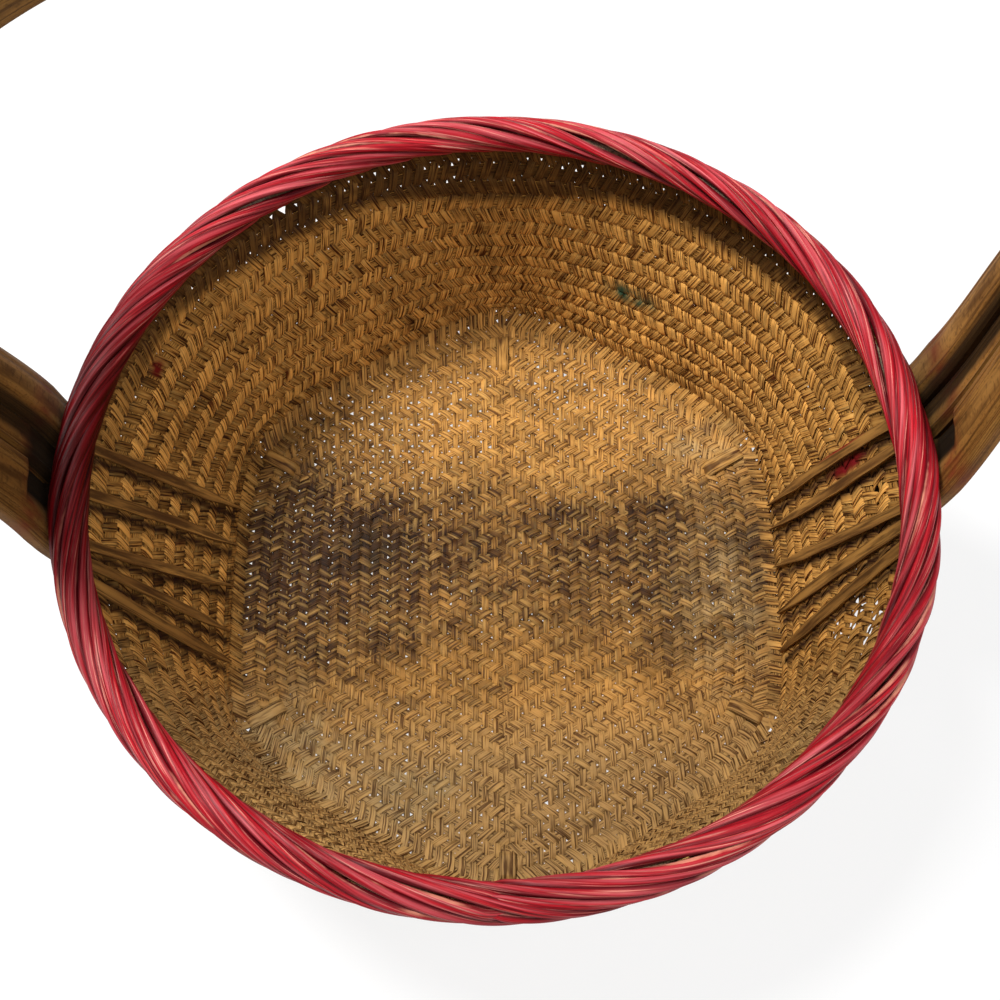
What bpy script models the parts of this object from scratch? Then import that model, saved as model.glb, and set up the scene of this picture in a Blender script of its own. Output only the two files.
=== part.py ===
"""A woven bamboo basket with a red wound cane rim and a bent bamboo handle.

The floor is a hexagon with a corner pointing at +Y, and the wall opens from it to a nearly round
rim. Three split slats cross under the floor, and each end comes up through it near a corner. The
wall's top edge stands between two hoops. Four red canes wind round the three of them, each twice
round the basket, and at every turn a cane goes through the wall by a hole under the hoops. The
handle is three bamboo bars side by side. They run down outside the wall, where straps hold them,
and tapered splints stiffen the wall inside, behind the legs.

Sizes are in metres, +Z is up, and the origin is on the ground below the middle of the rim.
"""
import math

import bmesh
import bpy
from mathutils import Vector

# Clearances
touch_gap = 0.0003            # between pieces that touch
cane_gap = 0.0005             # from one cane's end to the start of the next
strap_end_gap = 0.0010        # from the middle of a leg strap's square end to the curved wall

# Shading
sharp_angle = math.radians(40.0)      # edges that turn more than this look sharp

# Woven body
weave_thickness = 0.0024      # three layers of split bamboo
hollow_thickness = 0.0012     # of the same layers, pressed together between two rows of weave
floor_apothem = 0.1515        # from the floor's centre to the middle of a side
floor_shift = 0.0047          # how far the floor sits to the right of the rim's middle
corner_sharpness = 60         # exponent of the hexagon; a lower one rounds its corners
floor_bend = 0.006            # radius where the floor turns up into the wall
sides_around = 72             # facets round the wall and the rim
floor_sides = 24              # facets round the floor, a third of those round the wall
wall_rows = 7                 # rows that stand out up the wall, one for two rows of the real weave
floor_rows = 4                # rows that stand out on the floor, outside its raised middle

# Slats under the floor
slat_width = 0.0090
slat_thickness = 0.0020
slat_climb_start = 0.1300     # from the centre to where a slat starts up through the floor
slat_climb_length = 0.0100
slat_tip = 0.1615             # from the centre to the end that lies inside
rise_inner = 0.0100           # the slats cross at full height within this distance
rise_outer = 0.0500           # past this distance they all lie on the ground
rise_steps = 4

# Rim
rim_half_width = 0.1950       # along X, to the middle of the wound rim
rim_half_depth = 0.1910       # along Y
rim_height = 0.1548
core_radius = 0.0047          # hoops and wall edge together
edge_below_top = 0.0008       # the wall's edge stops this far under the top of the core
cane_radius = 0.0019
canes = 4
circuits = 2                  # times that each cane goes round the basket
turns = 7                     # twists round the core in one circuit, and a little more
crossing_angle = math.radians(80.0)   # of each twist, the part that goes through the wall
crossing_share = 0.035        # of the way along each twist that this part takes
points_over = 7               # pieces of a cane's route over the core in each twist

# Handle: two poles and a slat that fills the space between them, all flush at the back
pole_back = {"middle": 0.03260, "width": 0.0252, "thickness": 0.0100}    # from the middle line
pole_front = {"middle": -0.01650, "width": 0.0338, "thickness": 0.0100}
slat_middle_thickness = 0.0050
handle_middle_y = 0.0125      # the handle stands a little behind the rim's middle
handle_skew = 0.0480          # and drifts towards +Y from left to right, as a share of X
handle_twist = 0.0400         # and by this share more where the arch starts
handle_foot_height = 0.0060
handle_lean = math.radians(7.0)
bend_drop = 0.0250            # from the rim down to the bend in each leg
bend_length = 0.0150          # either side of it
bend_steps = 4
straight_top = 0.2600         # height where the straight legs turn into the arch
arch_steps = 12
grip_narrowing = 0.68         # width of the bars at the grip, as a share of that at the rim
narrowing_height = 0.3600     # above the rim, over which they narrow
pole_rounding = 0.35          # how much of a bar's thickness its rounded inner edges take
pole_chamfer = 0.15           # and how much the bevels along its back take
notch_height = 0.0180         # pocket cut in the front pole just above the rim
notch_width = 0.0165
notch_depth = 0.0060

# Straps
strap_thickness = 0.0015
strap_corner = 0.0010         # chamfer of a grip strap round the bars
leg_strap_width = 0.0080
leg_strap_corner = 0.0025     # how far a leg strap's bends start from its corners
leg_strap_heights = {"lower": 0.0400, "upper": 0.1020}
grip_strap_width = 0.0140
grip_strap_places = {"left": -0.5, "top": 0.0, "right": 0.5}   # as a share of the arch's half

# Splints inside the wall: where each starts under the rim and ends at the floor, along Y
splint_width = 0.0066
splint_tip_width = 0.0016
splint_thickness = 0.0016
splint_taper_share = 0.30
splint_steps = 8
splints_left = ((0.0205, 0.0420), (-0.0030, 0.0195), (-0.0290, -0.0045), (-0.0375, -0.0310),
                (-0.0465, -0.0480))
splints_right = ((0.0305, 0.0410), (0.0180, 0.0265), (-0.0130, 0.0040), (-0.0215, -0.0230),
                 (-0.0320, -0.0450))

# Worked out from the sizes above
floor_middle = slat_thickness + touch_gap + weave_thickness / 2
floor_top = floor_middle + weave_thickness / 2
floor_dome = 2 * (slat_thickness + touch_gap)
wall_foot = floor_middle + floor_bend
wall_edge = rim_height + core_radius - edge_below_top
strands = canes * circuits
twist_travel = math.tau / (turns + 1 / strands)      # angle round the basket in one twist
over_step = (math.tau - crossing_angle) / points_over
route_sag = rim_half_width * (1 - math.cos(twist_travel / points_over / 2))
winding_radius = (core_radius + touch_gap + cane_radius + route_sag) / math.cos(over_step / 2)
rim_reach = winding_radius + cane_radius
wall_head = rim_height - rim_reach - splint_thickness    # the wall stands upright above this
facet_sag = rim_half_width * (1 - math.cos(math.pi / sides_around))
slat_back_edge = pole_back["middle"] - pole_back["width"] / 2
slat_front_edge = pole_front["middle"] + pole_front["width"] / 2
slat_middle = {"middle": (slat_back_edge + slat_front_edge) / 2,
               "width": slat_back_edge - slat_front_edge - 2 * touch_gap / grip_narrowing,
               "thickness": slat_middle_thickness}
up = Vector((0.0, 0.0, 1.0))


def clear_scene():
    """Remove the objects of the scene that is open."""
    for item in list(bpy.data.objects):
        bpy.data.objects.remove(item, do_unlink=True)


def make_material(name, colour, roughness):
    """A Principled material of one plain colour."""
    made = bpy.data.materials.new(name)
    made.use_nodes = True
    shader = made.node_tree.nodes["Principled BSDF"]
    shader.inputs["Base Color"].default_value = (*colour, 1.0)
    shader.inputs["Roughness"].default_value = roughness
    shader.inputs["Metallic"].default_value = 0.0
    made.diffuse_color = (*colour, 1.0)
    return made


def add_object(name, mesh, material, location=(0.0, 0.0, 0.0), turn=0.0):
    """Turn a bmesh into a smooth-shaded object, turned about Z and placed."""
    bmesh.ops.recalc_face_normals(mesh, faces=mesh.faces)
    data = bpy.data.meshes.new(name)
    mesh.to_mesh(data)
    mesh.free()
    data.shade_smooth()
    data.set_sharp_from_angle(angle=sharp_angle)
    data.materials.append(material)
    made = bpy.data.objects.new(name, data)
    made.location = location
    made.rotation_euler = (0.0, 0.0, turn)
    bpy.context.collection.objects.link(made)
    return made


def loft(rings, cap_first=True, cap_last=True, closed=False):
    """Skin a run of rings of points into a bmesh; a ring may have a multiple of the last one's."""
    mesh = bmesh.new()
    loops = [[mesh.verts.new(point) for point in ring] for ring in rings]
    following = loops[1:] + loops[:1] if closed else loops[1:]
    for first, second in zip(loops, following):
        ratio = len(second) // len(first)
        nearest = [first[(i + ratio // 2) // ratio % len(first)] for i in range(len(second))]
        for i in range(len(second)):
            corners = (nearest[i - 1], nearest[i], second[i], second[i - 1])
            mesh.faces.new(list(dict.fromkeys(corners)))
    if cap_first and not closed:
        mesh.faces.new(loops[0])
    if cap_last and not closed:
        mesh.faces.new(loops[-1])
    return mesh


def smooth_step(share):
    """Ease from 0 to 1, flat at both ends."""
    share = min(max(share, 0.0), 1.0)
    return share * share * (3.0 - 2.0 * share)


def directions(sides=sides_around):
    """The directions round the basket where it has its facets' corners."""
    return [math.tau * i / sides for i in range(sides)]


def hexagon_radius(direction):
    """From the floor's centre to its edge."""
    total = 0.0
    for side in range(3):
        total += abs(math.cos(direction - side * math.pi / 3)) ** corner_sharpness
    return floor_apothem / total ** (1 / corner_sharpness)


def rim_radius(direction):
    """From the middle of the rim to the rim, which is an ellipse."""
    across = rim_half_depth * math.cos(direction)
    along = rim_half_width * math.sin(direction)
    return rim_half_width * rim_half_depth / math.hypot(across, along)


def rim_frame(direction):
    """A point on the middle line of the rim, and the level direction out from it."""
    radius = rim_radius(direction)
    point = Vector((radius * math.cos(direction), radius * math.sin(direction), rim_height))
    outward = Vector((point.x / rim_half_width ** 2, point.y / rim_half_depth ** 2, 0.0))
    return point, outward.normalized()


def floor_rise(distance):
    """How much of its full rise the floor has at a distance from its centre."""
    return smooth_step((rise_outer - distance) / (rise_outer - rise_inner))


def wall_point(direction, share):
    """A point on the middle surface of the wall, from its foot (0) to its head (1)."""
    radius = hexagon_radius(direction) * (1 - share) + rim_radius(direction) * share
    return Vector((floor_shift * (1 - share) + radius * math.cos(direction),
                   radius * math.sin(direction),
                   wall_foot + (wall_head - wall_foot) * share))


def wall_outward(direction, share):
    """The direction square to the wall, pointing out of the basket."""
    step = 0.001
    around = wall_point(direction + step, share) - wall_point(direction - step, share)
    upward = wall_point(direction, share + step) - wall_point(direction, share - step)
    return around.cross(upward).normalized()


def wall_direction(side, y, share):
    """The direction in which the wall, on the right (1) or left (-1), has this Y."""
    low = -math.pi / 2
    high = math.pi / 2
    for _ in range(40):
        middle = (low + high) / 2
        if wall_point(middle, share).y < y:
            low = middle
        else:
            high = middle
    return low if side > 0 else math.pi - low


def wall_outside(side, y, height, gap):
    """A point at this Y and height, a gap outside the wall on the right (1) or left (-1)."""
    share = (height - wall_foot) / (wall_head - wall_foot)
    outward = wall_outward(wall_direction(side, y, share), share)
    offset = weave_thickness / 2 + gap
    direction = wall_direction(side, y - outward.y * offset, share)
    return wall_point(direction, share) + outward * offset


def rise_distances():
    """Distances from the centre at which the raised middle has its corners."""
    span = rise_outer - rise_inner
    return [rise_inner + span * i / rise_steps for i in range(rise_steps + 1)]


def body_rings():
    """The weave's middle surface from the centre out and up, as rings with its thickness there."""
    rings = []
    for step, distance in enumerate(rise_distances()):
        height = floor_middle + floor_dome * floor_rise(distance)
        rings.append(([(floor_shift + distance * math.cos(a), distance * math.sin(a), height)
                       for a in directions(floor_sides)], row_thickness(step)))
    for step in range(1, 2 * floor_rows):
        ring = []
        for a in directions(floor_sides):
            span = hexagon_radius(a) - floor_bend - rise_outer
            radius = rise_outer + span * step / (2 * floor_rows)
            ring.append((floor_shift + radius * math.cos(a), radius * math.sin(a), floor_middle))
        rings.append((ring, row_thickness(step)))
    for turn in (0.0, math.pi / 6, math.pi / 3):
        inset = floor_bend * (1 - math.sin(turn))
        height = floor_middle + floor_bend * (1 - math.cos(turn))
        ring = []
        for a in directions():
            radius = hexagon_radius(a) - inset
            ring.append((floor_shift + radius * math.cos(a), radius * math.sin(a), height))
        rings.append((ring, weave_thickness))
    for step in range(2 * wall_rows + 1):
        rings.append(([wall_point(a, step / (2 * wall_rows)) for a in directions()],
                      row_thickness(step)))
    rings.append(([Vector((*wall_point(a, 1.0).xy, wall_edge)) for a in directions()],
                  weave_thickness))
    return rings


def row_thickness(step):
    """The weave is thick along the middle of a row, and thin in the hollow before the next."""
    return hollow_thickness if step % 2 else weave_thickness


def woven_body(material):
    """The floor and wall, one sheet of weave in rows, with a slot where each slat end comes up."""
    rings = body_rings()
    body = add_object("woven_body", loft([ring for ring, _ in rings], cap_last=False), material)
    rows = body.vertex_groups.new(name="rows")
    first = 0
    for ring, thickness in rings:
        rows.add(list(range(first, first + len(ring))), thickness / weave_thickness, "REPLACE")
        first += len(ring)

    sheet = body.modifiers.new("weave_thickness", "SOLIDIFY")
    sheet.thickness = weave_thickness
    sheet.vertex_group = rows.name
    sheet.offset = 0.0
    sheet.use_even_offset = True
    sheet.use_quality_normals = True
    slots = body.modifiers.new("slat_slots", "BOOLEAN")
    slots.operation = "DIFFERENCE"
    slots.solver = "EXACT"
    slots.object = slot_cutter()
    holes = body.modifiers.new("cane_holes", "BOOLEAN")
    holes.operation = "DIFFERENCE"
    holes.solver = "EXACT"
    holes.object = crossing_cutter()
    return body


def slot_cutter():
    """Six blocks that cut the slots for the slat ends."""
    length = slat_climb_length + 2 * touch_gap
    middle = slat_climb_start + slat_climb_length / 2
    width = slat_width + 2 * touch_gap
    mesh = bmesh.new()
    for end in range(6):
        block = bmesh.ops.create_cube(mesh, size=1.0)["verts"]
        bmesh.ops.scale(mesh, vec=(length, width, 4 * weave_thickness), verts=block)
        bmesh.ops.translate(mesh, vec=(middle, 0.0, floor_middle), verts=block)
        angle = math.pi / 6 + end * math.pi / 3
        turned = Vector((math.cos(angle), math.sin(angle)))
        for vert in block:
            x, y = vert.co.x, vert.co.y
            vert.co.x = x * turned.x - y * turned.y
            vert.co.y = x * turned.y + y * turned.x
    cutter = add_object("slot_cutter", mesh, bpy.data.materials[0], (floor_shift, 0.0, 0.0))
    cutter.hide_render = True
    cutter.display_type = "WIRE"
    return cutter


def strip_ring(point, along, across, width, thickness):
    """The four corners of a flat strip's section at a point of its route."""
    through = along.cross(across).normalized()
    half_width = across.normalized() * (width / 2)
    half_depth = through * (thickness / 2)
    return [point + half_width + half_depth, point - half_width + half_depth,
            point - half_width - half_depth, point + half_width - half_depth]


def route_tangents(points):
    """The direction of a route at each of its points."""
    runs = [(after - before).normalized() for before, after in zip(points, points[1:])]
    return [(before + after).normalized() for before, after in zip(runs[:1] + runs, runs + runs[-1:])]


def mitred_strip(points, across, width, thickness):
    """A flat strip along a route in one plane, its thickness kept true at the corners."""
    rings = []
    for i, tangent in enumerate(route_tangents(points)):
        neighbour = points[i + 1] if i + 1 < len(points) else points[i - 1]
        run = (neighbour - points[i]).normalized()
        stretch = 1.0 / max(abs(run.dot(tangent)), 0.5)
        rings.append(strip_ring(points[i], tangent, across, width, thickness * stretch))
    return loft(rings)


def base_slat(number, turn, material):
    """One slat: over the ones below it at the centre, on the ground, then up through the floor."""
    lift = number * (slat_thickness + touch_gap)
    half = [(distance, slat_thickness / 2 + lift * floor_rise(distance))
            for distance in rise_distances()]
    inside = floor_top + touch_gap + slat_thickness / 2
    half.append((slat_climb_start, slat_thickness / 2))
    half.append((slat_climb_start + slat_climb_length, inside))
    half.append((slat_tip, inside))
    points = [Vector((-x, 0.0, z)) for x, z in reversed(half)]
    points += [Vector((x, 0.0, z)) for x, z in half]
    mesh = mitred_strip(points, Vector((0.0, 1.0, 0.0)), slat_width, slat_thickness)
    return add_object(f"base_slat_{number + 1}", mesh, material, (floor_shift, 0.0, 0.0), turn)


def rim_hoop(name, side, material):
    """One of the two split hoops that hold the wall's edge, outside (1) or inside (-1)."""
    flat = weave_thickness / 2 + touch_gap
    limit = math.acos(flat / core_radius)
    section = [(core_radius * math.cos(limit * k / 2), core_radius * math.sin(limit * k / 2))
               for k in (-2, -1, 0, 1, 2)]
    rings = []
    for direction in directions():
        point, outward = rim_frame(direction)
        rings.append([point + outward * (side * x) + up * z for x, z in section])
    return add_object(name, loft(rings, closed=True), material)


def cane_start(number):
    """How far into a twist a cane starts, where the one before it ends."""
    return (number * circuits + 0.5) / strands


def winding_direction(number, twists):
    """The direction from the basket's middle to a cane after some twists; it travels clockwise."""
    return -math.pi / 2 - (twists - cane_start(number)) * twist_travel


def winding_point(number, twists):
    """A point of a cane's route; each twist starts with the way through the wall."""
    whole = math.floor(twists)
    part = twists - whole
    if part < crossing_share:
        angle = crossing_angle * (part / crossing_share - 0.5)
    else:
        over = (part - crossing_share) / (1 - crossing_share)
        angle = crossing_angle / 2 + (math.tau - crossing_angle) * over
    point, outward = rim_frame(winding_direction(number, twists))
    return point + (outward * math.sin(angle) - up * math.cos(angle)) * winding_radius


def cane_twists(number):
    """The twists at which a cane's route has its points."""
    start = cane_start(number)
    end = start + (circuits * math.tau - cane_gap / rim_half_depth) / twist_travel
    parts = [0.0, crossing_share / 2]
    parts += [crossing_share + (1 - crossing_share) * k / points_over for k in range(points_over)]
    inside = [whole + part for whole in range(math.ceil(end)) for part in parts
              if start < whole + part < end]
    return [start] + inside + [end]


def wall_crossings():
    """The direction of each place where a cane goes through the wall."""
    found = []
    for number in range(canes):
        for twists in cane_twists(number):
            if abs(twists - math.floor(twists) - crossing_share / 2) < 1e-9:
                found.append(winding_direction(number, twists))
    return found


def crossing_cutter():
    """Blocks that cut the holes by which the canes go through the wall."""
    reach = winding_radius * math.sin(crossing_angle / 2)
    run = crossing_share * twist_travel * rim_half_width
    slant = math.atan(run / 2 / reach)
    clear = cane_radius + touch_gap
    length = 2 * (clear / math.cos(slant) + weave_thickness / 2 * math.tan(slant))
    rise = weave_thickness / 2 * math.tan(crossing_angle / 4)
    mesh = bmesh.new()
    for direction in wall_crossings():
        point, outward = rim_frame(direction)
        around = up.cross(outward)
        middle = point - up * (winding_radius - rise / 2)
        block = bmesh.ops.create_cube(mesh, size=1.0)["verts"]
        for vert in block:
            vert.co = (middle + outward * (vert.co.x * 3 * weave_thickness)
                       + around * (vert.co.y * length) + up * (vert.co.z * (2 * clear + rise)))
    cutter = add_object("crossing_cutter", mesh, bpy.data.materials[0])
    cutter.hide_render = True
    cutter.display_type = "WIRE"
    return cutter


def least_gap(number):
    """The least clear distance between the rounds of one cane, which lie side by side."""
    steps = 40
    start = cane_start(number)
    one_round = math.tau / twist_travel
    first = [winding_point(number, start + one_round * i / (steps * turns))
             for i in range(steps * turns)]
    second = [winding_point(number, start + one_round * (1 + i / (steps * turns)))
              for i in range(steps * turns)]
    return min((a - b).length for a in first for b in second) - 2 * cane_radius


def rim_cane(number, material):
    """One cane of the rim's winding, an unbroken tube that goes round the basket twice."""
    points = [winding_point(number, twists) for twists in cane_twists(number)]
    print(f"rim_cane_{number + 1}: least gap to itself {least_gap(number) * 1000:.2f} mm")

    curve = bpy.data.curves.new(f"rim_cane_{number + 1}", "CURVE")
    curve.dimensions = "3D"
    curve.bevel_depth = cane_radius
    curve.bevel_resolution = 1
    curve.use_fill_caps = True
    curve.resolution_u = 1
    curve.render_resolution_u = 0
    spline = curve.splines.new("POLY")
    spline.points.add(len(points) - 1)
    for target, point in zip(spline.points, points):
        target.co = (*point, 1.0)
    curve.materials.append(material)
    made = bpy.data.objects.new(f"rim_cane_{number + 1}", curve)
    bpy.context.collection.objects.link(made)
    return made


def handle_foot(side):
    """Where the inner face of a leg stands against the wall's foot, seen from the front."""
    lean = math.atan2(abs(wall_point(0.0, 1.0).x - wall_point(0.0, 0.0).x), wall_head - wall_foot)
    outside = abs(wall_point(0.0 if side > 0 else math.pi, 0.0).x)
    outside += weave_thickness / 2 / math.cos(lean)
    return Vector((outside + touch_gap, handle_foot_height))


def handle_half(side):
    """Points of one half of the handle's inner face, from the foot to the top, as (X, Z)."""
    foot = handle_foot(side)
    rise = Vector((math.sin(handle_lean), math.cos(handle_lean)))
    beside_rim = rim_half_width + (rim_reach + touch_gap) / math.cos(handle_lean)
    bend = Vector((beside_rim, rim_height)) - rise * (bend_drop / rise.y)
    leg = (bend - foot).normalized()
    before = bend - leg * bend_length
    after = bend + rise * bend_length
    points = [foot, foot.lerp(before, 0.5)]
    for step in range(bend_steps + 1):
        share = step / bend_steps
        points.append(before.lerp(bend, share).lerp(bend.lerp(after, share), share))
    arch_start = bend + rise * ((straight_top - bend.y) / rise.y)
    points.append(after.lerp(arch_start, 0.5))
    radius = arch_start.x / math.cos(handle_lean)
    centre = arch_start.y + radius * math.sin(handle_lean)
    for step in range(arch_steps + 1):
        turn = -handle_lean + (math.pi / 2 + handle_lean) * step / arch_steps
        points.append(Vector((radius * math.cos(turn), centre + radius * math.sin(turn))))
    return points


def handle_route():
    """The handle's inner face from the left foot over the top to the right foot, as (X, Z)."""
    left = [Vector((-point.x, point.y)) for point in handle_half(-1)]
    right = handle_half(1)
    return left + right[-2::-1]


def bar_narrowing(height):
    """How wide the bars are at a height, as a share of their width at the rim."""
    share = min(max((height - rim_height) / narrowing_height, 0.0), 1.0)
    return grip_narrowing + (1 - grip_narrowing) * (1 - share) ** 2


def handle_y(point):
    """Where the handle's middle line lies along Y, at a point of its route."""
    risen = smooth_step((point.y - rim_height) / (straight_top - rim_height))
    return handle_middle_y + (handle_skew + handle_twist * risen) * point.x


def handle_place(point):
    """A point of the handle's route in space."""
    return Vector((point.x, handle_y(point), point.y))


def route_outward(run):
    """The way out of the arch, square to a run of the route."""
    return Vector((-run.y, 0.0, run.x)).normalized()


def pole_section(width, thickness):
    """A split pole: round on the inner face, with a flat back; (across, outwards) points."""
    corner = thickness * pole_rounding
    bevel = thickness * pole_chamfer
    half = width / 2
    side = [(half * 0.40, 0.0), (half * 0.80, corner * 0.30), (half, corner),
            (half, thickness - bevel), (half - bevel, thickness)]
    return [(-y, depth) for y, depth in side] + [(y, depth) for y, depth in reversed(side)]


def handle_bar(name, bar, section, material):
    """One bar of the handle, from foot to foot."""
    route = handle_route()
    rings = []
    for point, run in zip(route, route_tangents(route)):
        place = handle_place(point)
        outward = route_outward(run)
        share = bar_narrowing(place.z)
        rings.append([place + Vector((0.0, share * (bar["middle"] + y), 0.0))
                      + outward * (bars_depth() - bar["thickness"] + depth)
                      for y, depth in section(bar["width"], bar["thickness"])])
    return add_object(name, loft(rings), material)


def cut_notches(pole):
    """Cut a pocket into the pole on each leg, beside the middle slat and just above the rim."""
    edge = pole_front["middle"] + pole_front["width"] / 2
    for side, name in ((-1, "left"), (1, "right")):
        mesh = bmesh.new()
        bmesh.ops.create_cube(mesh, size=1.0)
        bmesh.ops.scale(mesh, vec=(2 * notch_depth, 2 * notch_width, notch_height), verts=mesh.verts)
        x = side * (rim_half_width + rim_reach + math.tan(handle_lean) * notch_height)
        y = handle_y(Vector((x, rim_height))) + edge
        cutter = add_object(f"notch_cutter_{name}", mesh, pole.data.materials[0],
                            (x, y, rim_height + notch_height * 0.7))
        cutter.rotation_euler.y = side * handle_lean
        cutter.hide_render = True
        cutter.display_type = "WIRE"
        cut = pole.modifiers.new(f"notch_{name}", "BOOLEAN")
        cut.operation = "DIFFERENCE"
        cut.solver = "EXACT"
        cut.object = cutter


def bars_edges():
    """The outermost places across the handle, back and front, at full width."""
    back = pole_back["middle"] + pole_back["width"] / 2
    front = pole_front["middle"] - pole_front["width"] / 2
    return back, front


def bars_depth():
    """From the handle's inner face to its back, where the bars are flush."""
    return max(bar["thickness"] for bar in (pole_back, slat_middle, pole_front))


def leg_strap(side, side_name, height_name, material):
    """A strap round the outside of a leg, with both ends against the wall."""
    height = leg_strap_heights[height_name]
    foot = handle_foot(side)
    before = handle_half(side)[2]
    along = (before - foot).normalized()
    level = foot + along * ((height - foot.y) / along.y)
    outward = Vector((along.y, -along.x))
    centre_y = handle_y(Vector((side * level.x, level.y)))
    clear = touch_gap + strap_thickness / 2
    back, front = bars_edges()
    depth = bars_depth() + clear
    corner = leg_strap_corner

    def place(across, out):
        flat = level + outward * out
        return Vector((side * flat.x, centre_y + across, flat.y))

    def wall_reach(across):
        reach = 0.0
        for _ in range(5):
            rise = outward.y * reach
            surface = wall_outside(side, centre_y + across, height + rise, strap_end_gap)
            reach = (abs(surface.x) - level.x) / outward.x
        return reach

    back_line = back + clear
    front_line = front - clear
    points = [place(back_line, wall_reach(back_line)), place(back_line, depth - corner),
              place(back_line - corner * 0.3, depth - corner * 0.3),
              place(back_line - corner, depth), place(front_line + corner, depth),
              place(front_line + corner * 0.3, depth - corner * 0.3),
              place(front_line, depth - corner), place(front_line, wall_reach(front_line))]
    across = Vector((side * along.x, 0.0, along.y))
    mesh = mitred_strip(points, across, leg_strap_width, strap_thickness)
    return add_object(f"leg_strap_{side_name}_{height_name}", mesh, material)


def strap_outline(place, outward, grow):
    """A ring of points round the three bars on the arch, a clearance and a growth away."""
    share = bar_narrowing(place.z)
    back, front = bars_edges()
    back = back * share + grow
    front = front * share - grow
    depth = bars_depth() + grow
    corner = strap_corner
    outline = ((back, corner - grow), (back - corner, -grow), (front + corner, -grow),
               (front, corner - grow), (front, depth - corner), (front + corner, depth),
               (back - corner, depth), (back, depth - corner))
    return [place + Vector((0.0, y, 0.0)) + outward * out for y, out in outline]


def grip_strap(name, place, material):
    """A strap that ties the three bars together on the arch, bent with them."""
    route = handle_route()
    index = len(route) // 2 + round(place * arch_steps)
    middle = route[index]
    to_left = (route[index - 1] - middle).normalized()
    to_right = (route[index + 1] - middle).normalized()
    half = grip_strap_width / 2
    stations = [(middle + to_left * half, -to_left), (middle, to_right - to_left),
                (middle + to_right * half, to_right)]
    inner = touch_gap
    outer = touch_gap + strap_thickness
    rings = [strap_outline(handle_place(point), route_outward(run), inner)
             for point, run in stations]
    rings += [strap_outline(handle_place(point), route_outward(run), outer)
              for point, run in reversed(stations)]
    return add_object(f"grip_strap_{name}", loft(rings, closed=True), material)


def wall_splint(name, side, top_y, foot_y, material):
    """A split bamboo splint against the inside of the wall, pointed where it meets the floor."""
    inward = weave_thickness / 2 + touch_gap + facet_sag + splint_thickness / 2
    points = []
    acrosses = []
    for step in range(splint_steps + 1):
        share = 1 - step / splint_steps
        direction = wall_direction(side, foot_y + (top_y - foot_y) * share, share)
        outward = wall_outward(direction, share)
        points.append(wall_point(direction, share) - outward * inward)
        acrosses.append(outward)
    rings = []
    for step, tangent in enumerate(route_tangents(points)):
        left = 1 - step / splint_steps
        taper = min(left / splint_taper_share, 1.0)
        width = splint_tip_width + (splint_width - splint_tip_width) * taper
        across = acrosses[step].cross(tangent)
        rings.append(strip_ring(points[step], tangent, across, width, splint_thickness))
    return add_object(name, loft(rings), material)


def main():
    clear_scene()
    woven = make_material("woven_bamboo", (0.33, 0.20, 0.09), 0.62)
    slat = make_material("split_bamboo", (0.42, 0.27, 0.12), 0.55)
    pole = make_material("handle_bamboo", (0.26, 0.16, 0.07), 0.50)
    red = make_material("red_cane", (0.58, 0.03, 0.04), 0.45)
    strap = make_material("cane_strap", (0.38, 0.25, 0.12), 0.55)

    woven_body(woven)
    for number, turn in enumerate((math.pi / 2, math.pi / 6, 5 * math.pi / 6)):
        base_slat(number, turn, slat)
    rim_hoop("rim_hoop_outer", 1, slat)
    rim_hoop("rim_hoop_inner", -1, slat)
    for number in range(canes):
        rim_cane(number, red)
    handle_bar("handle_pole_back", pole_back, pole_section, pole)
    handle_bar("handle_slat_middle", slat_middle, pole_section, pole)
    cut_notches(handle_bar("handle_pole_front", pole_front, pole_section, pole))
    for side, side_name in ((-1, "left"), (1, "right")):
        for height_name in leg_strap_heights:
            leg_strap(side, side_name, height_name, strap)
    for name, place in grip_strap_places.items():
        grip_strap(name, place, strap)
    for side, side_name, ends in ((-1, "left", splints_left), (1, "right", splints_right)):
        for number, (top_y, foot_y) in enumerate(ends, start=1):
            wall_splint(f"wall_splint_{side_name}_{number}", side, top_y, foot_y, slat)


main()
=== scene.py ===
"""Looks of a woven bamboo basket with a red wound rim and a bent bamboo handle."""
import math

import bmesh
import bpy
import numpy as np
from bpy.props import FloatProperty, IntProperty, PointerProperty, StringProperty
from mathutils import Matrix, Vector


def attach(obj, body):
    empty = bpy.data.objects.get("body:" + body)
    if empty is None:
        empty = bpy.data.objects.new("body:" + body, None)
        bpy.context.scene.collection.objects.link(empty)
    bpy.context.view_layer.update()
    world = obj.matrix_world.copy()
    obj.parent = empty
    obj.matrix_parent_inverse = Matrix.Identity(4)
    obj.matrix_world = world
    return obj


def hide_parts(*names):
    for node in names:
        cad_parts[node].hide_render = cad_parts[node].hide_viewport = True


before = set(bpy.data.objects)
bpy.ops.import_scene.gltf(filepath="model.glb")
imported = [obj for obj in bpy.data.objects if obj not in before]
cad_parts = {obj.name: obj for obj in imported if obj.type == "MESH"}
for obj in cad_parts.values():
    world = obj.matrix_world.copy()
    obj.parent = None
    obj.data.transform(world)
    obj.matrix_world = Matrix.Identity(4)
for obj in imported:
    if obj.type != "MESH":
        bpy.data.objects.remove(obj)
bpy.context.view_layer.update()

bl_info = {
    "name": "Woven bamboo basket",
    "version": (1, 0, 0),
    "blender": (4, 5, 0),
    "location": "3D View > Sidebar > Basket",
    "description": "Weaves, winds and finishes a bamboo basket round its packed solids",
    "category": "Object",
}


def length(name, default, text):
    """A size in metres that a user can change."""
    return FloatProperty(name=name, description=text, default=default, precision=5,
                         subtype="DISTANCE", unit="LENGTH")


def figure(name, default, text):
    """A count, where the default is whole, or else a number without a unit."""
    kind = IntProperty if isinstance(default, int) else FloatProperty
    return kind(name=name, description=text, default=default)


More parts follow.
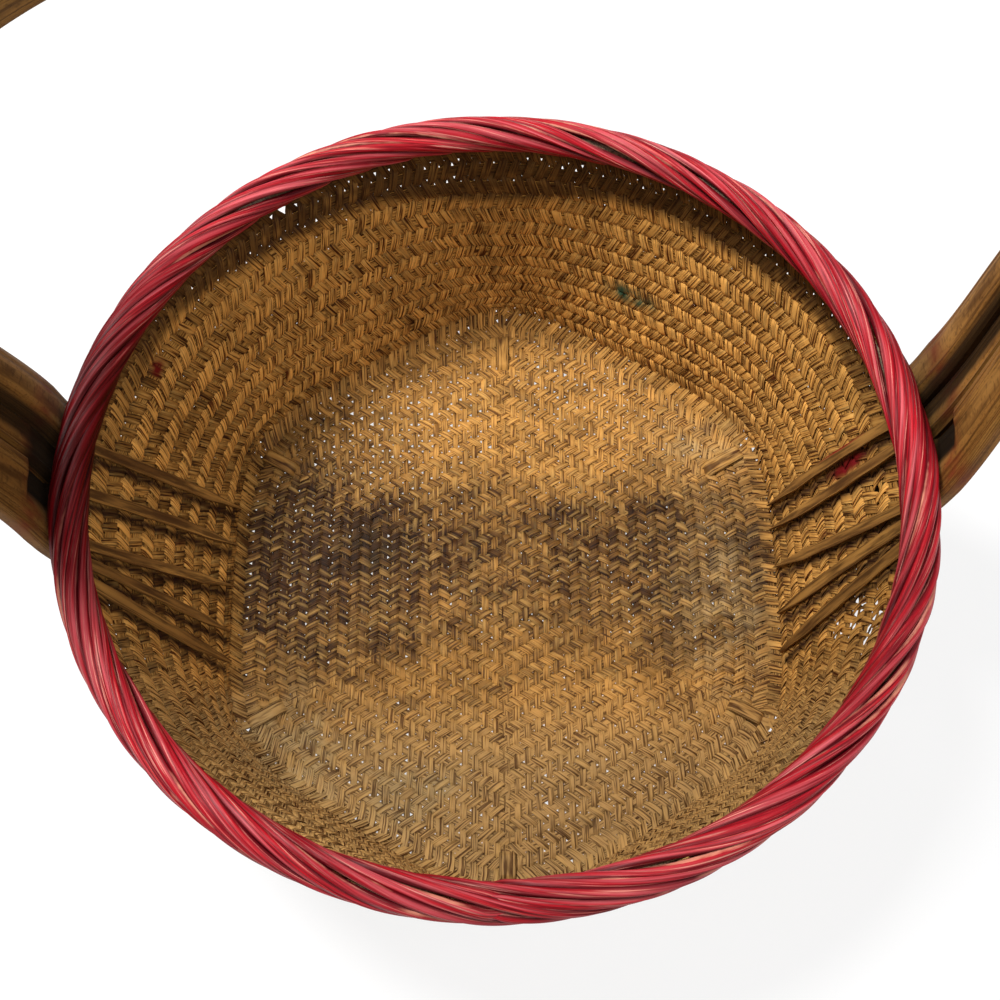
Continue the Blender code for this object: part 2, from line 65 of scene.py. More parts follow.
def colour(name, default, text):
    """A colour, written as sRGB hex."""
    return StringProperty(name=name, description=text, default=default)


class BasketBody(bpy.types.PropertyGroup):
    """Shape of the floor and wall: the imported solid's, but with a rounder fold between them."""

    floor_apothem: length("Floor", 0.1515, "From the floor's centre to the middle of a side")
    floor_shift: length("Floor shift", 0.0047, "How far the floor sits to the right")
    floor_middle: length("Floor height", 0.0035, "Height of the middle of the floor's weave")
    floor_dome: length("Dome", 0.0046, "Rise of the floor over the crossing slats")
    rise_inner: length("Dome top", 0.0100, "Radius of the dome's flat top")
    rise_outer: length("Dome foot", 0.0500, "Radius of the dome's foot")
    floor_bend: length("Bend", 0.0110, "Radius where the floor turns up into the wall")
    fold_apothem: length("Fold", 0.1575, "From the floor's centre to the middle of its fold")
    fold_wide: figure("Fold width", 0.965, "Stretch of the fold from side to side, where the "
                      "legs press it in")
    fold_deep: figure("Fold depth", 1.02, "Stretch of the fold from front to back")
    corner_sharpness: figure("Corners", 10.0, "Exponent of the rounded hexagon")
    rim_half_width: length("Rim half width", 0.1950, "From side to side, to the rope's middle")
    rim_half_depth: length("Rim half depth", 0.1910, "From front to back")
    rim_height: length("Rim height", 0.1548, "Height of the rope's middle")
    wall_head: length("Wall head", 0.1437, "Height above which the wall stands upright")


class BasketWeave(bpy.types.PropertyGroup):
    """Sizes of the weave."""

    strands_per_side: figure("Strands a side", 27, "Of one lean, along a side of the floor")
    floor_width: length("Floor strand", 0.0038, "Width of a strand in the floor")
    wall_width: length("Wall strand", 0.0053, "Width of a strand in the wall")
    hoop_share: figure("Hoop share", 0.80, "Width of a hoop as a share of its row's height")
    thickness: length("Strand thickness", 0.00045, "Thickness of the split bamboo")
    lift: length("Lift", 0.0008, "How far a strand stands off the weave's middle")
    crown: length("Crown", 0.00006, "How much a strand's middle stands above its edges")
    # painted light and shade: strands of one lean are painted lighter and those of the other
    # darker, flipping between the left and right walls
    lean_shade: figure("Lean tone", 0.26, "How much darker the strands of one lean look")
    wall_rows: figure("Rows", 15, "Rows up the wall, with a hoop at each and one at the foot")
    seed: figure("Seed", 7, "Start of the random draws")


class BasketRim(bpy.types.PropertyGroup):
    """Sizes of the rim's winding."""

    cane_width: length("Cane width", 0.0051, "Width of a cane")
    cane_height: length("Cane height", 0.0044, "Height of a cane")
    canes: figure("Canes", 4, "Number of canes")
    circuits: figure("Circuits", 2, "Times each goes round")
    turns: figure("Twists", 7, "Twists in one circuit")
    winding_radius: length("Winding radius", 0.0071, "From the rope's middle to a cane's")
    cane_overlap: length("Overlap", 0.0120, "How far a cane's end lies over the next one's")


class BasketHandle(bpy.types.PropertyGroup):
    """Sizes of the handle."""

    middle_y: length("Place", 0.0125, "How far the handle stands behind the rim's middle")
    skew: figure("Skew", 0.0480, "Drift towards +Y as a share of X")
    twist: figure("Twist", 0.0400, "More drift, reached where the arch starts")
    foot_height: length("Foot", 0.0060, "Height of the legs' lower ends")
    lean: FloatProperty(name="Lean", default=math.radians(7.0), subtype="ANGLE",
                        description="Lean of the legs above the bend")
    rim_reach: length("Rim reach", 0.0098, "From the rope's middle to the handle")
    bend_drop: length("Bend drop", 0.0250, "From the rim down to the bend in each leg")
    bend_length: length("Bend", 0.0150, "Length of the bend either side of its middle")
    straight_top: length("Straight top", 0.2600, "Height where the arch starts")
    thickness: length("Thickness", 0.0100, "From the handle's inner face to its back")
    narrowing: figure("Narrowing", 0.68, "Width at the grip as a share of that at the rim")
    narrowing_height: length("Narrowing height", 0.3600, "Over which the bars narrow")


class BasketColours(bpy.types.PropertyGroup):
    """Colours as sRGB hex."""

    weave_light: colour("Weave light", "E6AE62", "Clean split bamboo")
    # the dark colour also gives the painted shade that rides on the browning mark
    weave_dark: colour("Weave dark", "43280A", "Browned split bamboo")
    hoop: colour("Hoop strands", "CE9E58", "Strands between the leaning ones")
    soot: colour("Soot", "1C1206", "Dark stains")
    dust: colour("Dust", "C2A87E", "Grey dust")
    cane_red: colour("Red", "AE1622", "Red stain")
    cane_pink: colour("Pink", "DA686E", "Red stain rubbed thin")
    cane_dark: colour("Deep red", "5E0610", "Red stain in the grooves")
    cane_bare: colour("Bare cane", "D88E74", "Cane where the stain is worn off")
    pole: colour("Handle", "8C5E2A", "Bamboo of the handle")
    # painted highlight, laid along the crest of the handle's bars
    pole_highlight: colour("Handle light", "C49A60", "Bamboo where hands have polished it")
    # painted shade between the bars, beside the rim, in the pocket and on the left leg, as well as
    # dark joints and grime
    pole_shade: colour("Handle dark", "140C04", "Bamboo in the grooves")


GROUPS = {
    "basket_body": BasketBody,
    "basket_weave": BasketWeave,
    "basket_rim": BasketRim,
    "basket_handle": BasketHandle,
    "basket_colours": BasketColours,
}

UP = np.array((0.0, 0.0, 1.0))
HALF_WEAVE = 0.0012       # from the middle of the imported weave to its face
TOUCH_GAP = 0.0003        # between pieces that touch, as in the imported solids

# Y of each splint at the rim and at the floor, on the left (-1) and on the right (1)
SPLINTS = {
    -1: ((0.0205, 0.0420), (-0.0030, 0.0195), (-0.0290, -0.0045), (-0.0375, -0.0310),
         (-0.0465, -0.0480)),
    1: ((0.0305, 0.0410), (0.0180, 0.0265), (-0.0130, 0.0040), (-0.0215, -0.0230),
        (-0.0320, -0.0450)),
}

# Where each slat's two ends come up through the floor, where they dip again, and their widths
TABS = (
    ((0.1360, 0.1550, 0.0068), (0.1490, 0.1600, 0.0084)),
    ((0.1360, 0.1575, 0.0086), (0.1395, 0.1580, 0.0074)),
    ((0.1405, 0.1585, 0.0084), (0.1410, 0.1570, 0.0084)),
)

STRAND_STEP = 0.0011      # between the points of a strand's route across the floor
WALL_POINTS = 112         # points of a strand's route up the wall
FLAT_AROUND = 16          # corners round the section of a splint or slat
SPLINT_POINTS = 60        # points of a splint's route down the wall

# Stains and wear, each as X, Y, Z, spread and strength
SOOT = (
    (-0.073, 0.022, 0.004, (0.018, 0.014, 0.05), 0.62),
    (0.093, 0.030, 0.004, (0.030, 0.012, 0.05), 0.16),
    (-0.110, 0.030, 0.004, (0.040, 0.035, 0.05), 0.14),
)
DUST = (
    (-0.115, -0.090, 0.004, (0.035, 0.030, 0.05), 0.55),
    (-0.045, -0.118, 0.004, (0.022, 0.014, 0.05), 0.60),
    (0.125, -0.015, 0.004, (0.024, 0.055, 0.05), 0.45),
    (0.118, 0.084, 0.004, (0.025, 0.018, 0.05), 0.50),
)
PINHOLES = (
    (-0.090, 0.070, 0.0, (0.050, 0.045, 1), 0.9),
    (-0.020, 0.095, 0.0, (0.050, 0.030, 1), 0.6),
    (0.060, 0.130, 0.0, (0.050, 0.030, 1), 0.4),
)
RED_DYE = (
    (-0.1708, 0.0765, 0.118, (0.0035, 0.0035, 0.0035), 1.8),
    (0.1755, 0.0288, 0.0985, (0.010, 0.0034, 0.013), 2.2),
)

# Places where the wall's weave has opened, and how much
GAPS = (
    ((0.1772, -0.0471, 0.0998), 3.2), ((0.1801, -0.0548, 0.1179), 3.4),
    ((0.1762, -0.0637, 0.1127), 3.2), ((0.1741, -0.0675, 0.1090), 2.4),
    ((0.1710, -0.0516, 0.0791), 2.4), ((0.1739, -0.0559, 0.0946), 2.6),
    ((0.1872, 0.0065, 0.1179), 3.0), ((-0.1105, 0.1530, 0.1430), 3.0),
    ((-0.1060, 0.1575, 0.1430), 2.6),
)

# Lamps, each as name, place, size and power; both are aimed at a point inside the basket
LAMPS = (("key_lamp", (-0.78, 0.50, 2.2), 0.7, 78.0), ("fill_lamp", (0.75, -0.7, 1.9), 1.2, 20.0))
LAMP_AIM = Vector((0.0, 0.0, 0.1))

# The photograph's camera, as fitted to the rim and to the slats' ends
CAMERA_PLACE = (0.00214, -0.2616, 0.74438)
CAMERA_TURNS = (0.06, 67.15, -0.43)       # degrees: to the right, down, and round its own axis
CAMERA_LENS = 50.4                        # mm, for a sensor 36 mm wide


def settings(name):
    """One of the property groups on the scene."""
    return getattr(bpy.context.scene, name)


# Shape of the basket


def smooth(share):
    """Ease from 0 to 1, flat at both ends."""
    share = np.clip(share, 0.0, 1.0)
    return share * share * (3.0 - 2.0 * share)


def unit(vectors):
    """Vectors of length one."""
    return vectors / np.maximum(np.linalg.norm(vectors, axis=-1, keepdims=True), 1e-12)


def heading(points):
    """The direction along a route at each of its points."""
    return unit(np.gradient(points, axis=0))


def level_way(degrees):
    """A level direction, as X and Y, counted round from +X."""
    return np.array((math.cos(math.radians(degrees)), math.sin(math.radians(degrees))))


def to_its_left(way):
    """The level direction square to another, to its left."""
    return np.array((-way[1], way[0]))


def averaged(values, count, **edges):
    """A running mean over a count of neighbours."""
    padded = np.pad(values, count // 2, **(edges or {"mode": "edge"}))
    return np.convolve(padded, np.ones(count) / count, "valid")


def rounded(turn, power, wave=np.cos):
    """A cosine or sine squared off towards a box by its power."""
    return np.sign(wave(turn)) * np.abs(wave(turn)) ** power


def ring_turns(around, start=0.0):
    """The angles round a tube's section at its corners."""
    return (np.arange(around) + start) / around * math.tau


def distance_along(points):
    """Length gone at each point of a route."""
    steps = np.linalg.norm(np.diff(points, axis=0), axis=1)
    return np.concatenate([[0.0], np.cumsum(steps)])


def turned_share(angle, middle, spread):
    """1 at an angle round the rim, falling to 0 on both sides; middle and spread in degrees."""
    away = np.mod(angle - math.radians(middle) + math.pi, math.tau) - math.pi
    return np.exp(-(away / math.radians(spread)) ** 2)


def hexagon_reach(angle):
    """From the floor's centre to the edge of the hexagon that its strands are counted on."""
    part = np.mod(angle, math.pi / 3)
    turned = np.abs(part - np.where(part > math.pi / 6, math.pi / 3, 0))
    return settings("basket_body").floor_apothem / np.cos(turned)


def fold_reach(angle):
    """From the floor's centre to the rounded fold, where the floor turns up."""
    body = settings("basket_body")
    across, along = np.cos(angle) / body.fold_wide, np.sin(angle) / body.fold_deep
    turned = np.arctan2(along, across)
    total = sum(np.abs(np.cos(turned - k * np.pi / 3)) ** body.corner_sharpness for k in range(3))
    return body.fold_apothem / total ** (1 / body.corner_sharpness) / np.hypot(across, along)


def fold_share(x, y):
    """How far from the floor's centre a place is, as a share of the way to the fold."""
    return np.hypot(x, y) / fold_reach(np.arctan2(y, x))


def rim_reach(angle):
    """From the rim's middle to the middle of its rope."""
    body = settings("basket_body")
    wide, deep = body.rim_half_width, body.rim_half_depth
    return wide * deep / np.hypot(deep * np.cos(angle), wide * np.sin(angle))


def wall_foot():
    """Height of the wall's foot."""
    body = settings("basket_body")
    return body.floor_middle + body.floor_bend


def wall_at(angle, share):
    """Points of the wall's middle surface, from its foot (0) to its head (1) and upright above."""
    body = settings("basket_body")
    inside = np.minimum(share, 1.0)
    reach = fold_reach(angle) * (1 - inside) + rim_reach(angle) * inside
    height = wall_foot() + (body.wall_head - wall_foot()) * share
    return np.stack([body.floor_shift * (1 - inside) + reach * np.cos(angle),
                     reach * np.sin(angle), height], axis=-1)


def wall_inward(angle, share):
    """Directions square to the wall that point into the basket."""
    step = 0.004
    share = np.minimum(share, 0.99)
    around = wall_at(angle + step, share) - wall_at(angle - step, share)
    upward = wall_at(angle, share + 0.005) - wall_at(angle, share - 0.005)
    return unit(np.cross(upward, around))


def floor_at(x, y):
    """Points on the floor's middle surface and the directions square to it, upwards."""
    body = settings("basket_body")
    start = body.floor_apothem - body.floor_bend
    point = np.stack([x + body.floor_shift, y, np.full_like(x, body.floor_middle)], axis=-1)
    normal = np.zeros(x.shape + (3,))
    normal[..., 2] = 1.0
    upright = np.ones_like(x)
    for side in range(6):
        outward = np.append(level_way(60 * side), 0.0)
        past = np.clip((x * outward[0] + y * outward[1] - start) / body.floor_bend, 0.0, 1.0)
        turn = past * math.pi / 2
        point += outward * (body.floor_bend * (np.sin(turn) - past))[..., None]
        normal -= outward * np.sin(turn)[..., None]
        upright *= np.cos(turn)
    point[..., 2] += body.floor_bend * (1 - upright)
    reach = np.hypot(x, y)
    rise = smooth((body.rise_outer - reach) / (body.rise_outer - body.rise_inner))
    point[..., 2] += body.floor_dome * rise
    normal[..., 2] = np.maximum(upright, 0.02)
    angle = np.arctan2(y, x)
    edge = hexagon_reach(angle)
    eased = 1 + (fold_reach(angle) / edge - 1) * smooth((reach / edge - 0.5) / 0.5)
    point[..., 0] = body.floor_shift + (point[..., 0] - body.floor_shift) * eased
    point[..., 1] *= eased
    return point, unit(normal)


# Weave


def side_pitch():
    """Distance between strands of one lean, along a side of the floor."""
    body, weave = settings("basket_body"), settings("basket_weave")
    return 2 * body.floor_apothem * math.tan(math.pi / 6) / weave.strands_per_side


def row_pitch():
    """Distance between the rows of crossings in the floor."""
    return side_pitch() * math.sin(math.pi / 3)


def wave(rows):
    """Height of a strand as it goes over and under: 1 on even rows, -1 on odd ones."""
    swing = np.cos(np.pi * rows)
    squareness = 0.08         # the less, the longer it stays over or under
    return swing / np.sqrt(swing * swing + squareness)


def floor_lift(family, x, y):
    """How far a strand of one of the three families is lifted at a place on the floor."""
    weights, lifts = [], []
    blur = 0.0009             # over which one sixth of the floor passes into the next
    for sector in range(6):
        way = level_way(60 + 60 * sector)
        along = x * way[0] + y * way[1]
        weights.append(along / blur)
        if sector % 3 == family:
            lifts.append(wave(along / row_pitch()))
        elif (sector + 1) % 3 == family:
            lifts.append(-wave(along / row_pitch()))
        else:
            lifts.append(np.zeros_like(along))
    weights = np.array(weights)
    weights = np.exp(weights - weights.max(axis=0))
    weights /= weights.sum(axis=0)
    return (weights * np.array(lifts)).sum(axis=0)


def wall_share(rows):
    """How far up the wall a row lies, midway between two corners."""
    first, second = 17.5, 3.25      # rows = first * share - second * share ** 2
    root = np.sqrt(first * first - 4 * second * np.minimum(rows, 20.0))
    return (first - root) / (2 * second)


def wall_place(place, rows):
    """Angle and share up the wall of a place counted in strands and in rows."""
    weave = settings("basket_weave")
    side = np.floor(place / weave.strands_per_side)
    along = (place / weave.strands_per_side - side - 0.5) * 2 * math.tan(math.pi / 6)
    straight = np.radians(60 + 60 * side) + np.arctan(along)
    even = np.radians(30 + 60 * place / weave.strands_per_side)
    share = wall_share(rows)
    blend = np.clip(share, 0.0, 1.0)
    angle = straight * (1 - blend) + even * blend
    corner = np.abs(np.degrees(even) % 60 - 30)
    sag = 0.33 * blend * (1 - blend) ** 1.4 * (1 - corner / 30) ** 2
    return angle, share - sag


def strand_route(family, offset):
    """One strand: down the wall, across the floor and up the other side.

    Returns its points, the directions square to the weave, its lift at its left edge, middle
    and right edge, and the way that it leans.
    """
    body, weave = settings("basket_body"), settings("basket_weave")
    along = level_way(30 + 60 * family)
    across = to_its_left(along)
    start = across * offset * row_pitch()
    ends = []
    for way in (-1, 1):
        found = None
        for side in range(6):
            outward = level_way(60 + 60 * side)
            speed = way * along @ outward
            if speed > 1e-6:
                reach = (body.floor_apothem - start @ outward) / speed
                leans_right = side % 3 == family
                if found is None or reach < found[0] - 1e-6 or (
                        abs(reach - found[0]) < 1e-6 and leans_right):
                    found = (reach, side, leans_right)
        reach, side, leans_right = found
        point = start + along * way * reach
        shift = point @ to_its_left(level_way(60 + 60 * side))
        place = (side + 0.5) * weave.strands_per_side + shift / side_pitch()
        ends.append((way * reach, place, -0.5 if leans_right else 0.5))

    count = max(int((ends[1][0] - ends[0][0]) / STRAND_STEP), 8)
    run = np.linspace(ends[0][0], ends[1][0], count)
    x, y = start[0] + along[0] * run, start[1] + along[1] * run
    half = across * weave.floor_width / 2
    lifts = np.stack([floor_lift(family, x + half[0] * k, y + half[1] * k) for k in (-1, 0, 1)],
                     axis=-1)
    floor = (*floor_at(x, y), lifts, np.zeros(count))
    first, last = ((*wall_run(place, drift, way), np.full(WALL_POINTS, np.sign(drift)))
                   for (_, place, drift), way in zip(ends, (-1, 1)))
    return tuple(np.concatenate([down[::-1], middle, up])
                 for down, middle, up in zip(first, floor, last))


def wall_run(place, drift, way):
    """The part of a strand that climbs the wall, from its foot to just over the last hoop."""
    weave = settings("basket_weave")
    rows = np.linspace(0.12, weave.wall_rows + 0.35, WALL_POINTS)
    angle, share = wall_place(place + drift * rows, rows)
    points = wall_at(angle, share)
    normals = wall_inward(angle, share)
    sign = 1 if drift < 0 else -1
    tilt = 0.09 * sign * way
    start = weave.strands_per_side      # so that the wall goes on where the floor leaves off
    lifts = np.stack([sign * wave(rows + start + tilt * k) for k in (-1, 0, 1)], axis=-1)
    return points, normals, lifts


def strand_strip(points, normals, lifts, width, lean, rng, hoop=False):
    """Lay a strand's left edge, middle and right edge, with the small faults of hand work."""
    weave = settings("basket_weave")
    gone = distance_along(points)
    normals = unit(np.stack([averaged(normals[:, k], 5) for k in range(3)], -1))
    tangents = heading(points)
    across = unit(np.cross(normals, tangents))
    phase = rng.uniform(0, math.tau, 4)
    drift = 0.00022 * (np.sin(gone / 0.021 + phase[0]) + 0.7 * np.sin(gone / 0.0087 + phase[1]))
    drift += rng.uniform(-0.00025, 0.00025)
    swell = 1 + 0.05 * np.sin(gone / 0.017 + phase[2]) + 0.03 * np.sin(gone / 0.006 + phase[3])
    width = width * swell * rng.uniform(0.92, 1.07)
    lift = lifts * weave.lift + rng.uniform(-0.00006, 0.00006)
    rows = []
    for column, k in enumerate((-1, 0, 1)):
        raised = lift[:, column] - (weave.crown if k else 0.0)
        rows.append(points + across * (drift + width / 2 * k)[:, None]
                    + normals * raised[:, None])
    return {"places": np.stack(rows, axis=1), "along": gone,
            # how far the strand dives under the others, for the painted shade there
            "under": np.clip(0.5 - 0.5 * lifts[:, 1], 0, 1) * (0.0 if hoop else 1.0),
            "across": np.stack([-width / 2, np.zeros_like(width), width / 2], -1),
            "tone": rng.uniform(0, 1), "lean": lean, "hoop": float(hoop)}


def mesh_data(name, mesh):
    """Turn a bmesh into mesh data, and give its vertices' places as well."""
    data = bpy.data.meshes.new(name)
    mesh.to_mesh(data)
    mesh.free()
    flat = np.zeros(len(data.vertices) * 3, np.float32)
    data.vertices.foreach_get("co", flat)
    return data, flat.reshape(-1, 3)


def map_strand(data, along, across):
    """Give a mesh its strand map: metres along the strand and across it."""
    corner = np.zeros(len(data.loops), np.int32)
    data.loops.foreach_get("vertex_index", corner)
    pairs = np.stack([along, across], -1)[corner].astype(np.float32)
    data.uv_layers.new(name="strand").data.foreach_set("uv", pairs.ravel())


def add_object(name, data):
    """Put an object with this data in the scene."""
    made = bpy.data.objects.new(name, data)
    bpy.context.scene.collection.objects.link(made)
    return made


def add_piece(name, data, material):
    """Put a finished mesh in the scene as a piece of the basket."""
    made = add_object(name, data)
    data.materials.append(material)
    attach(made, "root")
    return made


def lay_strips(name, strips, material):
    """Make a flat grid for each strand and move all of them to their places at once.

    The edges round each grid are sharp, so that the strands look flat and cut, not round.
    """
    weave = settings("basket_weave")
    mesh = bmesh.new()
    for number, strip in enumerate(strips):
        cells = len(strip["along"]) - 1
        flat = (Matrix.Translation((cells / 2, 0.0, number))
                @ Matrix.Diagonal((cells / 2, 1.0, 1.0, 1.0)))
        bmesh.ops.create_grid(mesh, x_segments=cells, y_segments=2, size=1.0, matrix=flat)
    for edge in mesh.edges:
        edge.smooth = not edge.is_boundary
    data, flat = mesh_data(name, mesh)
    column_of, number_of = np.rint(flat[:, 1:]).astype(int).T
    first = np.cumsum([0] + [len(strip["along"]) for strip in strips])
    row = first[number_of] + np.rint(flat[:, 0]).astype(int)

    def gather(key):
        return np.concatenate([strip[key] for strip in strips])[row]

    each = np.arange(len(row))
    places = gather("places")[each, column_of + 1]
    data.vertices.foreach_set("co", places.astype(np.float32).ravel())
    map_strand(data, gather("along"), gather("across")[each, column_of + 1] + 0.013 * number_of)
    for key in ("tone", "hoop"):
        paint(data, key, np.array([strip[key] for strip in strips])[number_of])
    marks = marks_at(places)
    side = np.cos(np.arctan2(places[:, 1], places[:, 0]))
    # painted light and shade by lean, flipping between the left and the right wall
    marks["age"] -= weave.lean_shade * gather("lean") * side * (0.66 - 0.34 * side)
    # painted shade where a strand dives under the others, stronger on the wall's left half
    marks["age"] += gather("under") * (0.10 + 0.16 * marks["wall"] * (1 - np.clip(side, 0, 1)))
    for mark, amount in marks.items():
        paint(data, mark, amount)
    data.shade_smooth()
    data.update()
    made = add_piece(name, data, material)
    sheet = made.modifiers.new("thickness", "SOLIDIFY")
    sheet.thickness = weave.thickness
    sheet.offset = 0.0
    return made


def paint(data, name, amount):
    """Store one number at each vertex for the material to read."""
    layer = data.attributes.new(name, "FLOAT", "POINT")
    layer.data.foreach_set("value", np.asarray(amount, np.float32))


def blot(places, x, y, z, spread, strength):
    """A soft round mark round a point; spread may be three sizes."""
    spread = np.broadcast_to(np.asarray(spread, float), (3,))
    away = (places - np.array((x, y, z))) / spread
    return strength * np.exp(-(away ** 2).sum(axis=1))


def blots(places, spots):
    """Several such marks together."""
    return sum(blot(places, *spot) for spot in spots)


def ripple(places, size, seed):
    """A soft random number, mostly between -1 and 1, that changes over a given size."""
    rng = np.random.default_rng(seed)
    total = np.zeros(len(places))
    for _ in range(7):
        way = unit(rng.normal(size=3))
        total += np.sin(places @ way * (math.tau / size) * rng.uniform(0.6, 1.5)
                        + rng.uniform(0, math.tau))
    return total / 4


def floor_darkness(x, y):
    """How dark the floor is painted: light at the back and front, darkest between them at the left,
    and darker towards the fold, partly browning and partly painted shade.
    """
    age = 0.53 - 0.31 * smooth((y - 0.03) / 0.06) + 0.24 * np.exp(-((y - 0.020) / 0.040) ** 2)
    age += 0.14 * smooth((x - 0.02) / 0.08) * (1 - smooth((np.abs(y - 0.01) - 0.03) / 0.05))
    age -= 0.42 * smooth((-y - 0.02) / 0.08)
    age += 0.36 * np.maximum(-x, 0) / 0.125 * np.exp(-((y - 0.005) / 0.085) ** 2)
    places = np.stack([x, y, np.zeros_like(x)], -1)
    age += blot(places, -0.100, 0.085, 0.0, 0.036, 0.22)
    age += blot(places, 0.035, 0.048, 0.0, (0.045, 0.010, 1), 0.16)
    age -= blot(places, 0.085, -0.095, 0.0, 0.040, 0.10)
    return age + 0.20 * smooth((fold_share(x, y) - 0.84) / 0.14)


def wall_browning_and_shade(angle, height):
    """How dark the wall is painted, as browning together with painted light and shade: lightest at
    the back right, darker at the far left and far right, and darker at the foot.
    """
    age = 0.19 - 0.16 * turned_share(angle, 55, 35) + 0.16 * turned_share(angle, 182, 32)
    age += 0.19 * turned_share(angle, 0, 34) - 0.07 * turned_share(angle, -90, 40)
    back = smooth((np.sin(angle) + 0.05) / 0.6)
    return age + (0.06 + 0.14 * back) * (1 - smooth((height - 0.012) / 0.026))


def rim_shade(angle, height):
    """Painted shadow of the rim: a dark band under it at the back, on the inside of the wall."""
    start = 0.120 - 0.016 * turned_share(angle, 92, 24) - 0.003 * np.sin(angle * 9)
    return smooth((np.sin(angle) + 0.05) / 0.6) * smooth((height - start) / 0.008)


def openness(places):
    """How much the weave has opened into pinholes."""
    x, y = places[..., 0], places[..., 1]
    flat = np.stack([x, y, np.zeros_like(x)], -1).reshape(-1, 3)
    open_ = blots(flat, PINHOLES)
    angle = np.arctan2(flat[:, 1], flat[:, 0])
    walled = smooth((fold_share(flat[:, 0], flat[:, 1]) - 0.98) / 0.04)
    wall = 0.55 + 0.45 * turned_share(angle, 150, 50)
    height = places[..., 2].reshape(-1)
    wall = wall + 1.1 * smooth((height - 0.110) / 0.012) * turned_share(angle, 95, 38)
    open_ = open_ * (1 - walled) + wall * walled + 0.20 + 0.30 * ripple(flat, 0.012, 11)
    open_ = np.clip(open_, 0, 1.2 + 0.7 * walled)
    whole = places.reshape(-1, 3)
    for spot, size in GAPS:
        open_ += blot(whole, *spot, 0.0060, 1.9 * size)
    return open_.reshape(x.shape)


def fold_closeness(places):
    """How near a place is to the fold, 1 just inside it."""
    x, y = places[..., 0] - settings("basket_body").floor_shift, places[..., 1]
    return np.exp(-((fold_share(x, y) - 0.97) / 0.045) ** 2) * (places[..., 2] < 0.016)


def splint_shade(places):
    """Painted shadow: the dark line on the wall under each splint."""
    side = np.sign(places[:, 0])
    tall = settings("basket_body").wall_head - wall_foot()
    share = np.clip((places[:, 2] - wall_foot()) / tall, 0, 1)
    total = np.zeros(len(places))
    for way, ends in SPLINTS.items():
        for top_y, foot_y in ends:
            below = foot_y + (top_y - foot_y) * share - places[:, 1]
            line = np.exp(-((below - 0.0050) / 0.0026) ** 2)
            total = np.maximum(total, line * (side == way) * (share > 0.01))
    return total


def marks_at(places):
    """Stains of long use (soot, dust, browning and spots of dye), painted light and shade mixed
    into the browning, and painted shadows under the rim and the splints.
    """
    rough = ripple(places, 0.02, 3) * 0.5 + ripple(places, 0.007, 4) * 0.5
    soot = blots(places, SOOT) * (1 + 0.8 * rough)
    dust = blots(places, DUST) * np.clip(0.8 + 1.4 * rough, 0, 2)
    dust += 0.60 * smooth((-places[:, 1] - 0.050) / 0.060)
    x, y, height = places[:, 0] - settings("basket_body").floor_shift, places[:, 1], places[:, 2]
    away, angle = fold_share(x, y), np.arctan2(y, x)
    wall = smooth((away - 0.84) / 0.30 + np.where(away > 0.8, height / 0.040, 0.0))
    age = floor_darkness(x, y) * (1 - wall) + wall_browning_and_shade(angle, height) * wall
    age += 0.10 * ripple(places, 0.05, 5) + 0.11 * ripple(places, 0.014, 6)
    band = rim_shade(angle, height) * np.clip(1 + 0.3 * rough, 0, 1)
    green = blot(places, 0.078, 0.153, 0.058, (0.013, 0.013, 0.0055), 1.3) * (0.9 + 0.9 * rough)
    marks = {"soot": soot, "dust": dust, "age": age, "green": green,
             "red": blots(places, RED_DYE)}
    marks = {name: np.clip(amount, 0, 1) for name, amount in marks.items()}
    return {**marks, "wall": wall, "band": band, "shade": splint_shade(places)}


# Materials


def linear(text):
    """An sRGB hex colour as linear numbers."""
    levels = [int(text[i:i + 2], 16) / 255 for i in (0, 2, 4)]
    return tuple(c / 12.92 if c <= 0.04045 else ((c + 0.055) / 1.055) ** 2.4
                 for c in levels) + (1.0,)


def add_node(tree, kind, links=(), **values):
    """Add a node; values set its properties or inputs, links are (input, socket) pairs."""
    node = tree.nodes.new(kind)
    for name, value in values.items():
        if hasattr(node, name):
            setattr(node, name, value)
    for name, value in values.items():
        if not hasattr(node, name):
            node.inputs[name.replace("_", " ")].default_value = value
    for name, socket in links:
        tree.links.new(socket, node.inputs[name])
    return node


def start_material(name, roughness, specular):
    """A new material with its shader's plain numbers set on its own sockets."""
    made = bpy.data.materials.new(name)
    made.use_nodes = True
    shader = made.node_tree.nodes["Principled BSDF"]
    shader.inputs["Roughness"].default_value = roughness
    shader.inputs["Specular IOR Level"].default_value = specular
    return made, made.node_tree


def finish_material(made, base, grain, strength, distance):
    """Join the colour and the relief of the grain to the shader."""
    tree = made.node_tree
    shader = tree.nodes["Principled BSDF"]
    bump = add_node(tree, "ShaderNodeBump", [("Height", grain)], Strength=strength,
                    Distance=distance)
    tree.links.new(base, shader.inputs["Base Color"])
    tree.links.new(bump.outputs[0], shader.inputs["Normal"])
    return made


def mask(tree, source, low=0.0, high=1.0, low_out=0.0, high_out=1.0):
    """A share from a socket, or from a number painted on the mesh, stretched between limits."""
    if isinstance(source, str):
        source = add_node(tree, "ShaderNodeAttribute", attribute_name=source).outputs["Fac"]
    if (low, high, low_out, high_out) == (0.0, 1.0, 0.0, 1.0):
        return source
    return add_node(tree, "ShaderNodeMapRange", [("Value", source)], From_Min=low, From_Max=high,
                    To_Min=low_out, To_Max=high_out).outputs["Result"]


